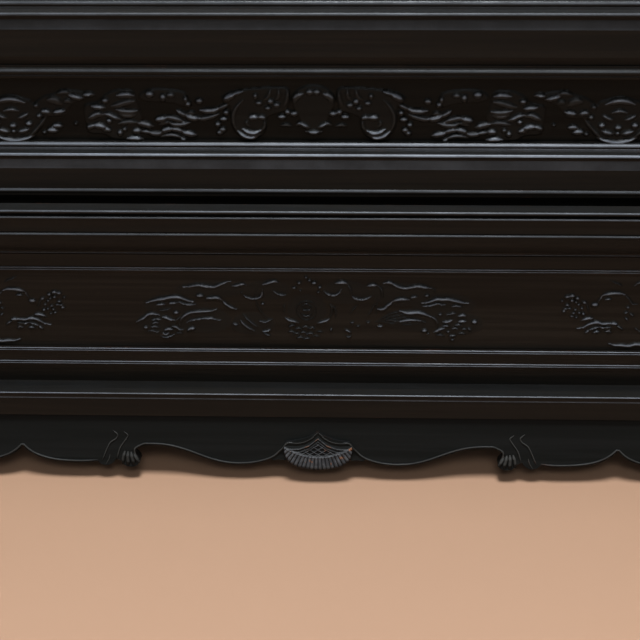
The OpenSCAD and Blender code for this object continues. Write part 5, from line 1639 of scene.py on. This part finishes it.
def add_floor():
    """Plain floor under the screen."""
    bpy.ops.object.select_all(action="DESELECT")
    bpy.ops.mesh.primitive_plane_add(size=FLOOR_SIZE, location=(0, 0, 0))
    floor = bpy.context.object
    floor.name = "floor"
    floor.data.materials.append(floor_material())


def add_camera():
    """Camera that looks down at the middle of the stand."""
    stage = bpy.context.scene.screen_stage
    bpy.ops.object.camera_add(location=stage.camera_place)
    camera = bpy.context.object
    turn, pitch, roll = stage.camera_turn, stage.camera_pitch, stage.camera_roll
    forward = Vector((-math.sin(turn) * math.cos(pitch), math.cos(turn) * math.cos(pitch), -math.sin(pitch)))
    level = Vector((math.cos(turn), math.sin(turn), 0))
    upward = level.cross(forward)
    right = math.cos(roll) * level + math.sin(roll) * upward
    top = -math.sin(roll) * level + math.cos(roll) * upward
    turned = Matrix((right, top, -forward)).transposed().to_4x4()
    camera.matrix_world = Matrix.Translation(stage.camera_place) @ turned
    camera.data.lens = stage.lens
    camera.data.sensor_width = SENSOR_WIDTH
    camera.data.clip_start = NEAREST_SEEN
    bpy.context.scene.camera = camera


COOL_LIGHT = (0.88, 0.94, 1.0)
PALE_LIGHT = (0.95, 0.97, 1.0)
ROOM_LIGHT = (0.86, 0.93, 1.0, 1)
# Soft lights: name, place, what they look at, width, height, the setting of their power, and colour
SOFT_LIGHTS = [
    ("front", (0.1, -1.45, 1.75), (0.02, 0, 0.12), 0.9, 0.5, "front_power", COOL_LIGHT),
    ("overhead", (0.05, -0.30, 2.6), (0.05, -0.15, 0.1), 0.6, 0.7, "over_power", COOL_LIGHT),
    ("low", (-0.1, -1.7, 0.5), (0, 0, 0.13), 1.2, 0.6, "low_power", PALE_LIGHT),
    ("back", (0.2, 2.0, 1.3), (0, 0, 0.5), 1.2, 0.8, "back_power", PALE_LIGHT),
    ("left", (-2.0, 0.35, 1.2), (0, 0, 0.5), 0.8, 0.8, "side_power", PALE_LIGHT),
    ("right", (2.0, 0.35, 1.2), (0, 0, 0.5), 0.8, 0.8, "side_power", PALE_LIGHT),
]


def add_lights():
    """The soft lights, and the weak light from all round."""
    stage = bpy.context.scene.screen_stage
    for name, place, target, width, height, power, colour in SOFT_LIGHTS:
        bpy.ops.object.light_add(type="AREA", location=place)
        light = bpy.context.object
        light.name = name
        light.data.shape = "RECTANGLE"
        light.data.size = width
        light.data.size_y = height
        light.data.energy = getattr(stage, power)
        light.data.color = colour
        light.rotation_euler = (Vector(target) - Vector(place)).to_track_quat("-Z", "Y").to_euler()
    world = bpy.data.worlds.new("studio")
    world.use_nodes = True
    background = world.node_tree.nodes["Background"]
    background.inputs["Color"].default_value = ROOM_LIGHT
    background.inputs["Strength"].default_value = stage.room
    bpy.context.scene.world = world


class SCREEN_PT_panel(Panel):
    """Builds the screen's looks piece by piece"""
    bl_idname = "SCREEN_PT_panel"
    bl_label = "Panel Screen"
    bl_space_type = "VIEW_3D"
    bl_region_type = "UI"
    bl_category = "Screen"

    def draw(self, context):
        """Lists the operators and the settings."""
        layout = self.layout
        for operator in OPERATORS:
            layout.operator(operator.bl_idname)
        scene = context.scene
        for settings in (scene.screen_finish, scene.screen_carving, scene.screen_stage):
            box = layout.box()
            for name in settings.__annotations__:
                box.prop(settings, name)


OPERATORS = (SCREEN_OT_finishes, SCREEN_OT_waist, SCREEN_OT_frieze, SCREEN_OT_aprons, SCREEN_OT_spandrels,
             SCREEN_OT_feet, SCREEN_OT_painting, SCREEN_OT_stage)
CLASSES = (FinishSettings, CarvingSettings, StageSettings, *OPERATORS, SCREEN_PT_panel)


def register():
    """Registers the settings, the operators and the panel."""
    for cls in CLASSES:
        bpy.utils.register_class(cls)
    bpy.types.Scene.screen_finish = PointerProperty(type=FinishSettings)
    bpy.types.Scene.screen_carving = PointerProperty(type=CarvingSettings)
    bpy.types.Scene.screen_stage = PointerProperty(type=StageSettings)


def unregister():
    """Takes away what register added."""
    del bpy.types.Scene.screen_stage
    del bpy.types.Scene.screen_carving
    del bpy.types.Scene.screen_finish
    for cls in reversed(CLASSES):
        bpy.utils.unregister_class(cls)


def main():
    """Builds the looks."""
    register()
    bpy.ops.panel_screen.finishes()
    bpy.ops.panel_screen.waist()
    bpy.ops.panel_screen.frieze()
    bpy.ops.panel_screen.aprons()
    bpy.ops.panel_screen.spandrels()
    bpy.ops.panel_screen.feet()
    bpy.ops.panel_screen.painting()
    bpy.ops.panel_screen.stage()


if __name__ == "__main__":
    main()
